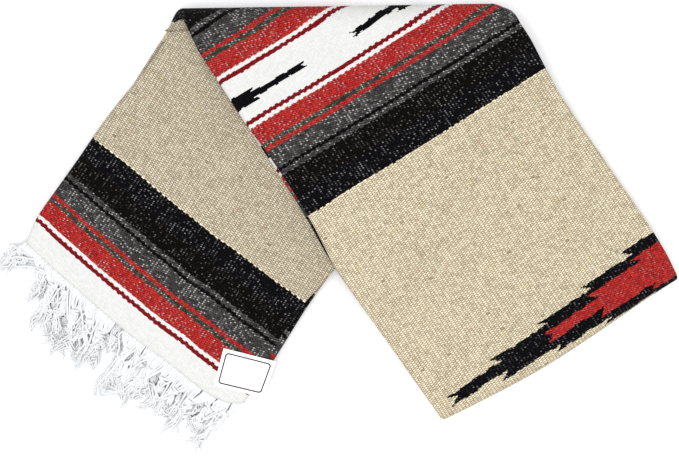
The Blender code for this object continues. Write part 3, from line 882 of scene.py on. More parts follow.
def stripes_group():
    """Colours of the serape's stripes and figures by place on the loom."""
    tree, graph, given, out = new_group(
        "serape_stripes",
        (("Loom", "NodeSocketVector", None), ("Place", "NodeSocketVector", None)),
        (
            ("Colour", "NodeSocketColor"),
            ("Second", "NodeSocketColor"),
            ("Flecks", "NodeSocketFloat"),
            ("Tan", "NodeSocketFloat"),
            ("White", "NodeSocketFloat"),
        ),
    )
    loom = given.outputs["Loom"]
    loom_across, loom_along = graph.split(loom)
    # The stripes change from one whole float to the next
    place = given.outputs["Place"]
    whole = graph.split(place)[1]
    slope = graph.calc("SUBTRACT", loom_along, whole)
    along = graph.calc("MULTIPLY_ADD", slope, STRIPE_SLOPE, whole)
    wander = graph.noise(place, 26.0, 2.0)
    along = graph.calc("SUBTRACT", along, STRIPE_WANDER / 2)
    along = graph.calc("MULTIPLY_ADD", wander, STRIPE_WANDER, along)
    hem = graph.calc("SUBTRACT", HEM_GROUP_END, along)
    first = graph.calc("SUBTRACT", along, CENTRE_START)
    last = graph.calc("SUBTRACT", CENTRE_END, along)
    depth = graph.calc("MAXIMUM", hem, graph.calc("MINIMUM", first, last))
    position = graph.calc("DIVIDE", depth, BORDER_SPAN)
    starts = [0.0] + [max(row[0] / BORDER_SPAN, TAN_EDGE) for row in BORDER]
    colours = []
    for field, column in (("tan", 1), ("dark_tan", 2)):
        stops = [yarn(field)] + [yarn(row[column]) for row in BORDER]
        colours.append(graph.ramp(position, list(zip(starts, stops))))
    fleck_stops = [(0.0,) * 3] + [(row[3],) * 3 for row in BORDER]
    flecks = graph.ramp(position, list(zip(starts, fleck_stops)))

    step_along = graph.calc("SNAP", loom_along, STEP_ALONG)
    ragged = graph.random(5.0, graph.calc("DIVIDE", step_along, STEP_ALONG))
    step_across = graph.calc("SNAP", loom_across, STEP_ACROSS)
    step_across = graph.calc("MULTIPLY_ADD", ragged, STEP_RAGGED, step_across)
    step_across = graph.calc("SUBTRACT", step_across, STEP_RAGGED / 2)
    uneven = graph.noise(loom, 75.0, 1.0)
    uneven = graph.calc("MULTIPLY_ADD", uneven, STEP_WAVY, -STEP_WAVY / 2)
    step_along = graph.calc("ADD", step_along, uneven)
    line = graph.calc("MULTIPLY_ADD", loom_across, BIG_FIGURE_TILT, BIG_FIGURE_LINE)
    off = graph.calc("ABSOLUTE", graph.calc("SUBTRACT", step_along, line))
    figure = figure_mask(graph, step_across, off, BIG_FIGURE)
    heart = figure_mask(graph, step_across, off, BIG_FIGURE_HEART)
    every = graph.calc("WRAP", step_across, SMALL_FIGURE_EVERY / 2, -SMALL_FIGURE_EVERY / 2)
    near = graph.calc("ABSOLUTE", graph.calc("SUBTRACT", step_along, SMALL_FIGURE_LINE))
    small = figure_mask(graph, every, near, SMALL_FIGURE)
    black = graph.calc("MAXIMUM", figure, small)
    for i, (dark, red) in enumerate((("blue_black", "red"), ("soft_black", "orange_red"))):
        colours[i] = graph.mix(black, colours[i], yarn(dark))
        colours[i] = graph.mix(heart, colours[i], yarn(red))
    graph.feed(out.inputs["Colour"], colours[0])
    graph.feed(out.inputs["Second"], colours[1])
    figure_flecks = graph.calc("MULTIPLY", figure, FIGURE_FLECKS)
    graph.feed(out.inputs["Flecks"], graph.calc("MAXIMUM", flecks, figure_flecks))
    field = graph.calc("LESS_THAN", depth, 0.0)
    bare = graph.calc("LESS_THAN", graph.calc("ADD", flecks, field), 0.01)
    graph.feed(out.inputs["White"], graph.calc("MULTIPLY", bare, graph.calc("SUBTRACT", 1.0, black)))
    graph.feed(out.inputs["Tan"], graph.calc("MULTIPLY", field, graph.calc("SUBTRACT", 1.0, figure)))
    return tree


# Streaks of a yarn's second colour: how many in a metre across and along, their contrast and
# their offset. Each float also has more or less of that colour as a whole. The tan yarn is more
# even than the others.
STREAKS_ACROSS = 1000.0
STREAKS_ALONG = 1700.0
STREAK_CONTRAST = 5.2
STREAK_OFFSET = -2.3
FLOAT_CONTRAST = 0.9
TAN_STREAK_CONTRAST = -1.1
TAN_STREAK_OFFSET = 0.5
TAN_FLOAT_CONTRAST = -0.25
# Shade in the grooves: in all yarns, more in those that are not white, and more again in tan
GROOVE_SHADE = 0.10
GROOVE_SHADE_DARK = 0.62
GROOVE_SHADE_TAN = 0.16
# Stray dark, yellow and pink fibres in the tan: each float draws a lot from 0 to 1, and one that
# draws within the reach of a fibre's own lot shows it
STRAY_LOTS = 91.0
STRAY_REACH = 0.0009
STRAY_FIBRES = (
    # lot, strength, colour
    (0.992, 0.5, srgb(96, 72, 50)),
    (0.984, 0.6, srgb(236, 214, 140)),
    (0.980, 0.5, srgb(216, 150, 130)),
)


def cloth_material(name, weave, stripes, painted_tan_shade):
    """The woven cloth, by its place on the loom, with painted shade multiplied into its tan field."""
    material, shader = new_material(name)
    graph = Graph(material.node_tree)
    uv = graph.node("ShaderNodeUVMap", uv_map="loom").outputs[0]
    cells = graph.node("ShaderNodeGroup", node_tree=weave)
    graph.feed(cells.inputs["Loom"], uv)
    colours = graph.node("ShaderNodeGroup", node_tree=stripes)
    graph.feed(colours.inputs["Loom"], uv)
    graph.feed(colours.inputs["Place"], cells.outputs["Place"])
    across, along = graph.split(uv)
    streak = graph.vector(
        graph.calc("MULTIPLY", across, STREAKS_ACROSS),
        graph.calc("MULTIPLY", along, STREAKS_ALONG),
    )
    streaks = graph.noise(streak, 1.0, 1.0, 0.7)
    cell = cells.outputs["Cell"]
    tan = colours.outputs["Tan"]
    contrast = graph.calc("MULTIPLY_ADD", tan, TAN_STREAK_CONTRAST, STREAK_CONTRAST)
    offset = graph.calc("MULTIPLY_ADD", tan, TAN_STREAK_OFFSET, STREAK_OFFSET)
    blend = graph.calc("MULTIPLY_ADD", streaks, contrast, offset)
    cell_share = graph.calc("MULTIPLY_ADD", tan, TAN_FLOAT_CONTRAST, FLOAT_CONTRAST)
    blend = graph.calc("MULTIPLY_ADD", graph.calc("SUBTRACT", cell, 0.5), cell_share, blend)
    blend = graph.node("ShaderNodeClamp", {"Value": blend}).outputs[0]
    colour = graph.mix(blend, colours.outputs["Colour"], colours.outputs["Second"])
    warp = graph.calc("MULTIPLY", cells.outputs["Warp"], colours.outputs["Flecks"])
    colour = graph.mix(warp, colour, yarn("white"))
    stray = graph.calc("FRACT", graph.calc("MULTIPLY", cell, STRAY_LOTS))
    for lot, strength, fibre in STRAY_FIBRES:
        found = graph.calc("COMPARE", stray, lot, STRAY_REACH)
        found = graph.calc("MULTIPLY", found, graph.calc("MULTIPLY", tan, strength))
        colour = graph.mix(found, colour, fibre)
    groove = graph.calc("SUBTRACT", 1.0, cells.outputs["Height"])
    dark = graph.calc("SUBTRACT", 1.0, colours.outputs["White"])
    deep = graph.calc("MULTIPLY", dark, GROOVE_SHADE_DARK)
    deep = graph.calc("MULTIPLY_ADD", tan, GROOVE_SHADE_TAN, deep)
    groove = graph.calc("MULTIPLY", groove, graph.calc("ADD", deep, GROOVE_SHADE))
    colour = graph.mix(groove, colour, (0.0, 0.0, 0.0), "MULTIPLY")
    # Painted shade: the tan field is multiplied by its cloth's shade, darker on the lower leg and the
    # folded edges
    colour = graph.mix(tan, colour, graph.mix(1.0, colour, painted_tan_shade, "MULTIPLY"))
    graph.feed(shader.inputs["Base Color"], colour)
    rough = graph.calc("MULTIPLY_ADD", cells.outputs["Pick"], 0.08, 0.86)
    graph.feed(shader.inputs["Roughness"], rough)
    shader.inputs["Specular IOR Level"].default_value = 0.03
    shader.inputs["Sheen Weight"].default_value = 0.012
    shader.inputs["Sheen Roughness"].default_value = 0.6
    fuzz = graph.noise(uv, 2600.0, 2.0, 0.7)
    height = graph.calc("MULTIPLY_ADD", fuzz, 0.35, cells.outputs["Height"])
    graph.bump(shader, height, 0.4, 0.0006)


# Turns in a metre of the fringe's yarn and of the sewing thread
YARN_TURNS = 420.0
THREAD_TURNS = 1600.0


def ply_pattern(graph, uv, turns):
    """Light and dark of a yarn's twisted plies, from its turns in a metre."""
    across, along = graph.split(uv)
    twist = graph.calc("MULTIPLY_ADD", along, turns, across)
    return graph.calc("ABSOLUTE", graph.calc("SINE", graph.calc("MULTIPLY", twist, math.pi)))


def yarn_material():
    """Soft white twisted yarn: the map runs round the strand and along it."""
    material, shader = new_material("twisted_yarn")
    graph = Graph(material.node_tree)
    uv = graph.node("ShaderNodeUVMap", uv_map="loom").outputs[0]
    ply = ply_pattern(graph, uv, YARN_TURNS)
    across, along = graph.split(uv)
    fibre = graph.vector(graph.calc("MULTIPLY", across, 9.0), graph.calc("MULTIPLY", along, 900.0))
    fuzz = graph.noise(fibre, 1.0, 2.0, 0.6)
    shade = graph.calc("MULTIPLY_ADD", ply, 0.5, graph.calc("MULTIPLY", fuzz, 0.5))
    colour = graph.mix(shade, yarn("fringe_shade"), yarn("fringe"))
    graph.feed(shader.inputs["Base Color"], colour)
    graph.feed(shader.inputs["Roughness"], graph.calc("MULTIPLY_ADD", fuzz, 0.1, 0.82))
    shader.inputs["Specular IOR Level"].default_value = 0.25
    shader.inputs["Sheen Weight"].default_value = 0.15
    graph.bump(shader, shade, 0.5, 0.0004)


TAPE_PITCH = 0.0006


def label_material():
    """Close plain white tape."""
    material, shader = new_material("label_tape")
    graph = Graph(material.node_tree)
    at = graph.node("ShaderNodeTexCoord").outputs["Object"]
    across, along = graph.split(at)
    warp = graph.calc("SINE", graph.calc("MULTIPLY", across, 2 * math.pi / TAPE_PITCH))
    weft = graph.calc("SINE", graph.calc("MULTIPLY", along, 2 * math.pi / TAPE_PITCH))
    check = graph.calc("MULTIPLY_ADD", graph.calc("MULTIPLY", warp, weft), 0.5, 0.5)
    colour = graph.mix(check, srgb(240, 240, 238), srgb(252, 252, 251))
    graph.feed(shader.inputs["Base Color"], colour)
    grain = graph.noise(at, 300.0)
    graph.feed(shader.inputs["Roughness"], graph.calc("MULTIPLY_ADD", grain, 0.2, 0.5))
    graph.bump(shader, check, 0.3, 0.0002)


def thread_material():
    """Dark sewing thread."""
    material, shader = new_material("dark_thread")
    graph = Graph(material.node_tree)
    uv = graph.node("ShaderNodeUVMap", uv_map="loom").outputs[0]
    ply = ply_pattern(graph, uv, THREAD_TURNS)
    graph.feed(shader.inputs["Base Color"], graph.mix(ply, srgb(14, 14, 16), srgb(44, 44, 48)))
    graph.feed(shader.inputs["Roughness"], graph.calc("MULTIPLY_ADD", ply, 0.2, 0.5))
    graph.bump(shader, ply, 0.4, 0.0002)


# The cloths, and the painted shade on the tan yarn in each: the lower leg is painted darker as if in
# shade, and the plies at the folded edges darker still
CLOTH_TAN_SHADES = (
    ("upper_weave", (1.0, 0.99, 0.97)),
    ("lower_weave", (0.83, 0.83, 0.84)),
    ("edge_weave", (0.70, 0.70, 0.72)),
)


def serape_materials():
    """The materials by name, made once."""
    if "serape_stripes" not in bpy.data.node_groups:
        weave = weave_group(bpy.context.scene.serape_weave)
        stripes = stripes_group()
        for name, painted_tan_shade in CLOTH_TAN_SHADES:
            cloth_material(name, weave, stripes, painted_tan_shade)
        yarn_material()
        label_material()
        thread_material()
    return bpy.data.materials


def settle(piece, slot, material, *nodes):
    """Gives a piece its material and the body it rides on, and hides the parts it stands for. The slot
    is not used.
    """
    piece.data.materials.clear()
    piece.data.materials.append(serape_materials()[material])
    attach(piece, "root")
    if nodes:
        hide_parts(*nodes)


def moved(point):
    """A point of the plan tables in the frame."""
    return Vector((point.x + SHIFT.x, point.y + SHIFT.y, point.z))


# Cords of the fringe


CORD_SIDES = 5


def add_cord(mesh, layer, points, width, taper=0.0):
    """A closed cord through the points; its map runs round it and along it."""
    rings = []
    run = 0.0
    for i, point in enumerate(points):
        before = points[max(i - 1, 0)]
        after = points[min(i + 1, len(points) - 1)]
        if i:
            run += (point - points[i - 1]).length
        heading = (after - before).normalized()
        side = heading.cross(Vector((0.0, 0.0, 1.0)))
        if side.length < 1e-3:
            side = Vector((1.0, 0.0, 0.0))
        side.normalize()
        up = side.cross(heading)
        t = i / (len(points) - 1)
        radius = width / 2 * (1 - taper * t * t)
        turns = [2 * math.pi * k / CORD_SIDES for k in range(CORD_SIDES)]
        ring = [point + (side * math.cos(turn) + up * math.sin(turn)) * radius for turn in turns]
        rings.append(([mesh.verts.new(spot) for spot in ring], run))
    for (row, length), (next_row, next_length) in zip(rings, rings[1:]):
        for k in range(CORD_SIDES):
            m = (k + 1) % CORD_SIDES
            face = mesh.faces.new((row[k], row[m], next_row[m], next_row[k]))
            face.smooth = True
            near = k / CORD_SIDES
            far = (k + 1) / CORD_SIDES
            uvs = (near, length), (far, length), (far, next_length), (near, next_length)
            for loop, uv in zip(face.loops, uvs):
                loop[layer].uv = uv
    mesh.faces.new(rings[0][0][::-1])
    mesh.faces.new(rings[-1][0])


def curve_through(points, steps):
    """Points of a smooth line through a few points."""
    made = []
    padded = [points[0] * 2 - points[1], *points, points[-1] * 2 - points[-2]]
    for i in range(1, len(padded) - 2):
        a, b, c, d = padded[i - 1 : i + 3]
        for step in range(steps):
            t = step / steps
            made.append(
                0.5
                * (
                    b * 2
                    + (c - a) * t
                    + (a * 2 - b * 5 + c * 4 - d) * t * t
                    + (b * 3 - a - c * 3 + d) * t * t * t
                )
            )
    made.append(points[-1])
    return made


def hem_point(share, out, height):
    """Point past the cut end of the lower leg, in the plan's frame."""
    point = plan(LOWER_LEG, 0.0, min(max(share, 0.002), 0.998), 0.0)[0]
    point = point + outward(LOWER_LEG, 0) * out
    return Vector((point.x, point.y, height))


def hem_height(share):
    return lower_loft(0.0, share) * STACK


# A tassel has more cords past its knot than up to it
MORE_LOOSE_CORDS = 4
CORD_STEPS = 8
CORD_TAPER = 0.35
# A knot is two turns of thicker cord, each of one round and a little over
KNOT_THICKNESS = 1.25
KNOT_STEPS = 9
KNOT_OVERLAP = 2
# Waves of a single cord as a share of its tuft's
OWN_SLACK = 0.45
FRINGE_ROWS = (
    # node, depth of its roots in the stack, height at the tips, shift, reach, cords a tassel, seed
    ("fringe_top", 0.0016, 0.0068, 0.0, 1.00, 14, 4),
    ("fringe_middle", 0.0112, 0.0036, 0.5, 0.92, 12, 12),
    ("fringe_bottom", 0.0196, 0.0016, 0.3, 0.84, 10, 23),
)


def tassels_of(shift, reach_share):
    """Tassels of one row: the table's own, or the same ones set further along."""
    if shift == 0:
        return TASSELS
    found = []
    for before, after in zip(TASSELS, TASSELS[1:]):
        across = before[0] + (after[0] - before[0]) * shift
        found.append((across, before[1], before[2] * reach_share))
    return found


def wavy(points, seed, reach):
    """Points with the slack waves of soft yarn, growing towards the loose end."""
    waved = []
    for i, point in enumerate(points):
        t = i / (len(points) - 1)
        sway = Vector(
            (
                noise.noise(Vector((t * 4.3, seed, 0.0))),
                noise.noise(Vector((t * 4.3, seed, 9.0))),
                0.4 * noise.noise(Vector((t * 2.9, seed, 17.0))),
            )
        )
        waved.append(point + sway * (reach * (0.2 + t)))
    return waved


def make_fringe_row(name, depth, tip_height, shift, reach_share, count, seed):
    """One row of tassels: yarns from two places on the hem meet in a knot and hang in tufts."""
    chance = random.Random(seed)
    settings = bpy.context.scene.serape_fringe
    width = settings.cord_width
    left, right = edges(LOWER_LEG, 0.0)
    hem_length = (right - left).length
    hem = (right - left).normalized().to_3d()
    out = outward(LOWER_LEG, 0).to_3d()
    mesh = bmesh.new()
    layer = mesh.loops.layers.uv.new("loom")
    half_pitch = 0.5 / len(TASSELS)

    def lay(points, steps, taper=0.0, thick=1.0):
        line = curve_through([moved(point) for point in points], steps)
        for spot in line:
            spot.z = max(spot.z, width * thick * 0.55)
        add_cord(mesh, layer, line, width * thick, taper)

    for across, drift, reach in tassels_of(shift, reach_share):
        root_height = hem_height(across) - depth
        course = hem * drift + out * reach
        heading = course.normalized()
        side = Vector((-heading.y, heading.x, 0.0))
        knot_at = settings.knot_distance * chance.uniform(0.6, 1.3)
        knot = hem_point(across, 0.0, 0.0) + heading * knot_at + side * chance.uniform(-0.002, 0.002)
        knot.z = tip_height + (root_height - tip_height) * chance.uniform(0.35, 0.75) + 0.002
        bundle = width * chance.uniform(1.6, 2.1)
        for sign in (-1, 1):
            root = across + sign * half_pitch * chance.uniform(0.3, 0.85)
            for cord in range(count // 2):
                spread = (cord - (count // 2 - 1) / 2) * width * 0.8
                share = root + spread / hem_length
                start = hem_point(share, -0.001, root_height + chance.uniform(-0.0008, 0.0008))
                over = hem_point(share, 0.004, root_height + chance.uniform(0.0, 0.0015))
                end = knot + side * (sign * bundle * 0.4) + hem * (spread * 0.3)
                end.z += chance.uniform(-0.0012, 0.0012)
                middle = over.lerp(end, 0.55) + hem * (sign * chance.uniform(0.0, 0.0025))
                lay((start, over, middle, end), 2)
        for turn in range(2):
            ring = []
            lean = chance.uniform(-0.9, 0.9)
            for k in range(KNOT_STEPS + KNOT_OVERLAP):
                angle = 2 * math.pi * k / KNOT_STEPS
                along = heading * ((turn - 0.5) * width + 0.0014 * math.sin(angle + lean))
                spot = knot + along + side * (math.cos(angle) * bundle)
                spot.z += math.sin(angle) * bundle * 0.75
                ring.append(spot)
            lay(ring, 1, thick=KNOT_THICKNESS)
        tufts = chance.choice((2, 3, 3))
        for tuft in range(tufts):
            lane = (tuft + 0.5) / tufts - 0.5 + chance.uniform(-0.12, 0.12)
            length = (course.length - knot_at) * chance.uniform(0.72, 1.06)
            fan = lane * settings.fan * length
            high = chance.uniform(0.0, 0.005)
            sway = chance.uniform(0, 100)
            for _ in range((count + MORE_LOOSE_CORDS) // tufts):
                own = chance.uniform(0.78, 1.06) * length
                apart = chance.uniform(-1.0, 1.0) * settings.tuft_width
                lift = high + chance.uniform(-0.001, 0.002)
                points = []
                for step in range(CORD_STEPS + 1):
                    t = step / CORD_STEPS
                    spot = knot + heading * (own * t) + side * (lane * bundle * 1.4 * (1 - t) + fan * t)
                    spot += side * (apart * math.sin(math.pi * (0.15 + 0.7 * t)))
                    spot.z = knot.z + (tip_height + lift - knot.z) * ease(t * 1.2)
                    points.append(spot)
                points = wavy(points, sway, settings.slack)
                points = wavy(points, chance.uniform(0, 100), settings.slack * OWN_SLACK)
                lay(points, 2, taper=CORD_TAPER)
        for _ in range(chance.choice((1, 2, 2, 3))):
            bow = chance.choice((-1, 1)) * chance.uniform(0.004, 0.010)
            start = hem_point(across + bow / hem_length * 1.5, 0.001, root_height)
            points = [
                start,
                start + out * 0.007 + hem * (bow * 0.2),
                knot + side * (bow * 0.9) + heading * 0.004,
                knot + side * (bow * 0.5) + heading * chance.uniform(0.010, 0.020),
                knot - side * (bow * 0.3) + heading * 0.007,
                knot,
            ]
            for spot in points[1:5]:
                spot.z = max(min(spot.z + chance.uniform(0.0, 0.003), root_height + 0.002), width)
            lay(points, 3)
    return finish_mesh(name + "_yarns", mesh)


# Settings, operators and panel


def length_setting(label, about, default):
    """A setting that is a length in metres."""
    return bpy.props.FloatProperty(name=label, description=about, default=default, unit="LENGTH")


class SerapeWeave(bpy.types.PropertyGroup):
    """Sizes of the weave."""

    rib_pitch: length_setting("Rib pitch", "Distance between warp ribs", 0.0039)
    float_length: length_setting("Float length", "Length of one weft float", 0.0024)


def yarn_colour(label, red, green, blue):
    """A colour setting with a picture's 0 to 255 values as its default."""
    return bpy.props.FloatVectorProperty(
        name=label,
        description=f"Colour of the {label.lower()} yarn",
        subtype="COLOR",
        min=0.0,
        max=1.0,
        default=srgb(red, green, blue),
    )


class SerapeYarns(bpy.types.PropertyGroup):
    """Colours of the yarns."""

    tan: yarn_colour("Tan", 255, 242, 212)
    dark_tan: yarn_colour("Dark tan", 150, 132, 102)
    white: yarn_colour("White", 215, 215, 212)
    shade_white: yarn_colour("Shade white", 199, 198, 195)
    red: yarn_colour("Red", 138, 20, 28)
    orange_red: yarn_colour("Orange red", 216, 64, 54)
    dark_red: yarn_colour("Dark red", 122, 18, 26)
    grey: yarn_colour("Grey", 86, 83, 82)
    dark_grey: yarn_colour("Dark grey", 6, 6, 7)
    heather: yarn_colour("Heather", 84, 86, 74)
    blue_black: yarn_colour("Blue black", 7, 8, 15)
    brown_black: yarn_colour("Brown black", 11, 7, 5)
    soft_black: yarn_colour("Soft black", 18, 15, 15)
    fringe: yarn_colour("Fringe", 227, 227, 227)
    fringe_shade: yarn_colour("Fringe shade", 205, 206, 208)


class SerapeFringe(bpy.types.PropertyGroup):
    """Sizes of the fringe's cords."""

    cord_width: length_setting("Cord width", "Width of one loose cord", 0.0026)
    knot_distance: length_setting("Knot distance", "From the hem to the knots", 0.018)
    fan: bpy.props.FloatProperty(
        name="Fan", description="Spread of a tassel as a share of its length", default=0.20
    )
    tuft_width: length_setting("Tuft width", "Half the width of one tuft", 0.0034)
    slack: length_setting("Slack", "Reach of the yarns' soft waves", 0.015)


class SerapeStage(bpy.types.PropertyGroup):
    """Floor, light and camera."""

    floor_colour: bpy.props.FloatVectorProperty(
        name="Floor colour", description="Pale floor", subtype="COLOR", default=(0.88, 0.88, 0.88)
    )
    key_power: bpy.props.FloatProperty(
        name="Key light", description="Power of the soft key light", default=31.0, unit="POWER"
    )
    world_strength: bpy.props.FloatProperty(
        name="Fill", description="Strength of the even light from all round", default=0.86
    )


FLOOR_SIZE = 8.0
# The floor lies a hair below the cloth, so that the two don't share a plane
FLOOR_HEIGHT = -0.0002
KEY_PLACE = (-0.12, -0.28, 1.9)
KEY_SIZE = 1.7
SKY_TINT = (0.97, 0.98, 1.0, 1.0)


class SERAPE_OT_stage(bpy.types.Operator):
    """Add the floor, the soft lights and the camera overhead"""

    bl_idname = "serape.stage"
    bl_label = "Stage"

    def execute(self, context):
        settings = context.scene.serape_stage
        bpy.ops.object.select_all(action="DESELECT")
        bpy.ops.mesh.primitive_plane_add(size=FLOOR_SIZE, location=(0.0, 0.0, FLOOR_HEIGHT))
        floor = context.object
        floor.name = "floor"
        material, shader = new_material("pale_floor")
        shader.inputs["Base Color"].default_value = (*settings.floor_colour, 1.0)
        shader.inputs["Roughness"].default_value = 0.9
        floor.data.materials.append(material)
        bpy.ops.object.light_add(type="AREA", location=KEY_PLACE)
        key = context.object
        key.name = "key"
        key.data.shape = "DISK"
        key.data.size = KEY_SIZE
        key.data.energy = settings.key_power
        key.rotation_euler = (-key.location).to_track_quat("-Z", "Y").to_euler()
        world = bpy.data.worlds.new("studio")
        world.use_nodes = True
        background = world.node_tree.nodes["Background"]
        background.inputs["Color"].default_value = SKY_TINT
        background.inputs["Strength"].default_value = settings.world_strength
        context.scene.world = world
        context.scene.view_settings.view_transform = "Standard"
        bpy.ops.object.camera_add(location=(SHIFT.x, SHIFT.y, CAMERA_HEIGHT), rotation=(0, 0, 0))
        camera = context.object
        camera.name = "overhead_camera"
        camera.data.sensor_width = SENSOR_WIDTH
        camera.data.lens = SENSOR_WIDTH * CAMERA_HEIGHT / FRAME_WIDTH
        context.scene.camera = camera
        return {"FINISHED"}


# Steps between the rows of the cloths and of the hidden plies
LOWER_STEPS = 100
TAIL_STEPS = 4
FOLD_STEPS = 26
UPPER_STEPS = 105
NOSE_STEPS = 18
UNDER_STEPS = 3
LOWER_PLY_STEPS = 60
FOLD_PLY_STEPS = 20
UPPER_PLY_STEPS = 62
NOSE_PLY_STEPS = 6
# First row of the upper leg past the slanting fold, and of the cloth under its end
UPPER_START = 0.008
UNDER_START = 0.995
# The hidden plies stop before the end fold's turn is complete
NOSE_PLY_TURN = 1.43
# Up to this turn of the slanting fold its plies have the lower leg's stripes, and the stripes of
# the lower leg's plies lag behind its top ply's
INNER_TURN = 2.2
INNER_BEHIND = 0.015


class SERAPE_OT_lower_leg(bpy.types.Operator):
    """Lay the cloth that shows on the lower leg, from the hem into the crease"""

    bl_idname = "serape.lower_leg"
    bl_label = "Lower leg"

    def execute(self, context):
        end = 1 - leg_share(LOWER_LEG, 2.1 * STEP_ROOM)
        places = shares(0.0, end, LOWER_STEPS)
        stations = [(("lower", along, 0.0), True) for along in places]
        insets = [interpolate(LOWER_INSET, along) for along in places]
        piece = lay_cloth("lower_leg_cloth", stations, insets, False)
        settle(piece, "lower_cloth", "lower_weave", "lower_leg")
        return {"FINISHED"}


class SERAPE_OT_upper_leg(bpy.types.Operator):
    """Lay the cloth from under the slanting fold, over the upper leg and round its end"""

    bl_idname = "serape.upper_leg"
    bl_label = "Upper leg"

    def execute(self, context):
        tail = leg_share(LOWER_LEG, RUN_UNDER)
        path = [("lower", along, 0.0) for along in shares(1 - tail, 1 - tail / 5, TAIL_STEPS)]
        path += [("fold", 0.0, angle) for angle in shares(0.0, math.pi, FOLD_STEPS)]
        near = 1 - leg_share(UPPER_LEG, RUN_UNDER)
        path += [("upper", along, 0.0) for along in shares(UPPER_START, near, UPPER_STEPS)]
        path += [("nose", 1.0, angle) for angle in shares(0.0, math.pi, NOSE_STEPS)]
        stations = [(station, False) for station in path]
        under = shares(UNDER_START, near, UNDER_STEPS)
        stations += [(("upper", along, 0.0), True) for along in under]
        insets = []
        for station, top in stations:
            covered = station[0] == "upper" and not top
            insets.append(interpolate(UPPER_INSET, station[1]) if covered else (0.0, 0.0))
        piece = lay_cloth("upper_leg_cloth", stations, insets, True)
        settle(piece, "upper_cloth", "upper_weave", "upper_leg")
        return {"FINISHED"}


class SERAPE_OT_folded_plies(bpy.types.Operator):
    """Lay the plies that show only at the folded edges"""

    bl_idname = "serape.folded_plies"
    bl_label = "Folded plies"

    def execute(self, context):
        run = leg_share(LOWER_LEG, RUN_UNDER)
        room = leg_share(LOWER_LEG, STEP_ROOM)
        step = leg_share(UPPER_LEG, STEP_ROOM)
        near = 1 - leg_share(UPPER_LEG, RUN_UNDER)
        places = shares(0.0, 1 - run - 2 * room, LOWER_PLY_STEPS)
        rows = [(("lower", along, 0.0), True, False) for along in places]
        rows += [(("lower", along, 0.0), True, True) for along in (1 - run - room, 1 - 2 * room)]
        rows.append((("lower", 1 - room, 0.0), False, True))
        places = shares(0.0, math.pi, FOLD_PLY_STEPS)
        rows += [(("fold", 0.0, angle), False, True) for angle in places]
        places = shares(UPPER_START, near - 2 * step, UPPER_PLY_STEPS)
        rows += [(("upper", along, 0.0), False, True) for along in places]
        rows.append((("upper", near - step, 0.0), True, True))
        places = shares(0.0, NOSE_PLY_TURN, NOSE_PLY_STEPS)
        rows += [(("nose", 1.0, angle), True, True) for angle in places]
        mesh = bmesh.new()
        layer = mesh.loops.layers.uv.new("loom")
        rings = []
        for station, cover_top, cover_under in rows:
            kind, along, angle = station
            top_insets = interpolate(LOWER_INSET, along) if kind == "lower" else (0.0, 0.0)
            under_insets = interpolate(UPPER_INSET, along) if kind == "upper" else (0.0, 0.0)
            inner = kind == "lower" or (kind == "fold" and angle < INNER_TURN)
            loom = LOWER_LOOM if inner else UPPER_LOOM
            behind = INNER_BEHIND if inner else PLIES_BEHIND
            ring = []
            for spot in layer_section(cover_top, cover_under, top_insets, under_insets):
                point = place(station, *spot)
                across, length = on_loom(loom, point.to_2d(), point.z)
                ring.append((moved(point), (across, length - behind)))
            rings.append(ring)
        lofted = add_rings(mesh, layer, rings)
        for row in (lofted[0][::-1], lofted[-1]):
            mesh.faces.new(row)
        piece = finish_mesh("folded_plies", mesh)
        settle(piece, "layers", "edge_weave", "hidden_layers")
        return {"FINISHED"}


class SERAPE_OT_fringe(bpy.types.Operator):
    """Knot the fringe at the cut end, in three rows"""

    bl_idname = "serape.fringe"
    bl_label = "Fringe"

    def execute(self, context):
        for name, *values in FRINGE_ROWS:
            piece = make_fringe_row(name, *values)
            settle(piece, "fringe_yarn", "twisted_yarn", name)
        return {"FINISHED"}


LABEL_COLUMNS = 30
LABEL_ROWS = 20
LABEL_THICKNESS = 0.0008
# How far the label's underside lies below the top of its solid, and how high its corner curls
LABEL_DEPTH = 0.0012
LABEL_CURL = 0.0012
# Stitch line: insets and corner radius as shares of the label, stitches a side, and a stitch
STITCH_INSET_ACROSS = 0.075
STITCH_INSET_DOWN = 0.105
STITCH_CORNER = 0.06
STITCHES_ACROSS = 17
STITCHES_DOWN = 11
STITCH_WIDTH = 0.0017
STITCH_RISE = 0.0003


class SERAPE_OT_label(bpy.types.Operator):
    """Sew the plain label to the corner of the open end"""

    bl_idname = "serape.label"
    bl_label = "Label"

    def execute(self, context):
        corners = [Vector(corner) for corner in LABEL_SHOWN]
        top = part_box("label")[1].z
        bpy.ops.object.select_all(action="DESELECT")
        bpy.ops.mesh.primitive_grid_add(
            x_subdivisions=LABEL_COLUMNS, y_subdivisions=LABEL_ROWS, size=2.0
        )
        piece = context.object
        piece.name = "sewn_label"
        for vertex in piece.data.vertices:
            across = (vertex.co.x + 1) / 2
            down = (1 - vertex.co.y) / 2
            vertex.co = label_point(corners, across, down, top)
        thicken = piece.modifiers.new("tape", "SOLIDIFY")
        thicken.thickness = LABEL_THICKNESS
        thicken.offset = 1.0
        bpy.ops.object.modifier_apply(modifier=thicken.name)
        bpy.ops.object.shade_smooth_by_angle(angle=math.radians(40))
        settle(piece, "label_cloth", "label_tape", "label")
        settle(make_label_stitches(corners, top), "label_cloth", "dark_thread")
        return {"FINISHED"}


def label_point(corners, across, down, height):
    """Point on the label's face, its free corner curled up a little."""
    top = corners[0].lerp(corners[1], across)
    bottom = corners[3].lerp(corners[2], across)
    point = top.lerp(bottom, down)
    curl = LABEL_CURL * ease((across - 0.75) / 0.25) * ease((down - 0.4) / 0.6)
    return moved(Vector((point.x, point.y, height - LABEL_DEPTH + curl)))


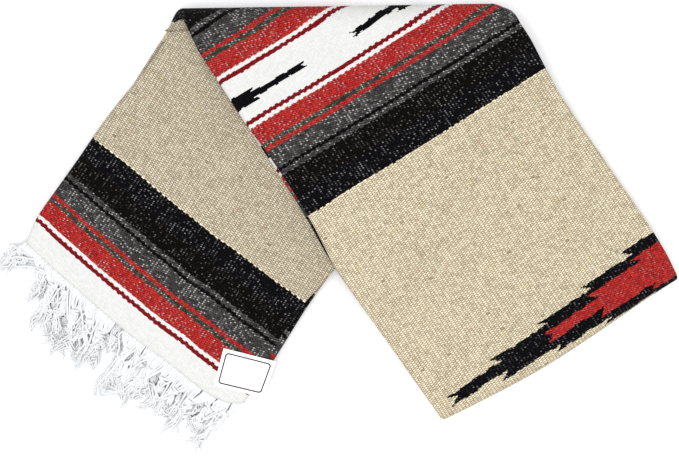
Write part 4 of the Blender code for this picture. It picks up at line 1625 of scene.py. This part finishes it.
def make_label_stitches(corners, height):
    """A plain running stitch round the label, inside its edge."""
    mesh = bmesh.new()
    layer = mesh.loops.layers.uv.new("loom")
    turn = STITCH_CORNER
    near_x = STITCH_INSET_ACROSS
    near_y = STITCH_INSET_DOWN
    line = []
    for x, y, first in (
        (1 - near_x - turn, near_y + turn, -0.5),
        (1 - near_x - turn, 1 - near_y - turn, 0.0),
        (near_x + turn, 1 - near_y - turn, 0.5),
        (near_x + turn, near_y + turn, 1.0),
    ):
        for k in range(7):
            angle = math.pi * (first + k / 12)
            line.append((x + turn * math.cos(angle), y + turn * math.sin(angle)))
    line.append(line[0])
    for start, end in zip(line, line[1:]):
        long = (Vector(end) - Vector(start)).length > 0.2
        side = STITCHES_ACROSS if abs(end[0] - start[0]) > 0.2 else STITCHES_DOWN
        count = side if long else 1
        for stitch in range(count):
            spots = []
            for part in (0.10, 0.30, 0.50, 0.70, 0.90):
                t = (stitch + part) / count
                across = start[0] + (end[0] - start[0]) * t
                spot = label_point(corners, across, start[1] + (end[1] - start[1]) * t, height)
                spot.z += LABEL_THICKNESS + (STITCH_RISE if 0.2 < part < 0.8 else -STITCH_RISE)
                spots.append(spot)
            add_cord(mesh, layer, spots, STITCH_WIDTH)
    return finish_mesh("label_stitches", mesh)


class SERAPE_PT_panel(bpy.types.Panel):
    """Builds the serape piece by piece"""

    bl_idname = "SERAPE_PT_panel"
    bl_label = "Serape"
    bl_space_type = "VIEW_3D"
    bl_region_type = "UI"
    bl_category = "Serape"

    def draw(self, context):
        for operator in OPERATORS:
            self.layout.operator(operator.bl_idname)


OPERATORS = (
    SERAPE_OT_stage,
    SERAPE_OT_lower_leg,
    SERAPE_OT_upper_leg,
    SERAPE_OT_folded_plies,
    SERAPE_OT_fringe,
    SERAPE_OT_label,
)
GROUPS = (
    ("serape_weave", SerapeWeave),
    ("serape_yarns", SerapeYarns),
    ("serape_fringe", SerapeFringe),
    ("serape_stage", SerapeStage),
)


def register():
    for name, group in GROUPS:
        bpy.utils.register_class(group)
        setattr(bpy.types.Scene, name, bpy.props.PointerProperty(type=group))
    for kind in (*OPERATORS, SERAPE_PT_panel):
        bpy.utils.register_class(kind)


def unregister():
    for kind in (SERAPE_PT_panel, *reversed(OPERATORS)):
        bpy.utils.unregister_class(kind)
    for name, group in reversed(GROUPS):
        delattr(bpy.types.Scene, name)
        bpy.utils.unregister_class(group)


def main():
    register()
    bpy.ops.serape.stage()
    bpy.ops.serape.lower_leg()
    bpy.ops.serape.upper_leg()
    bpy.ops.serape.folded_plies()
    bpy.ops.serape.fringe()
    bpy.ops.serape.label()


if __name__ == "__main__":
    main()
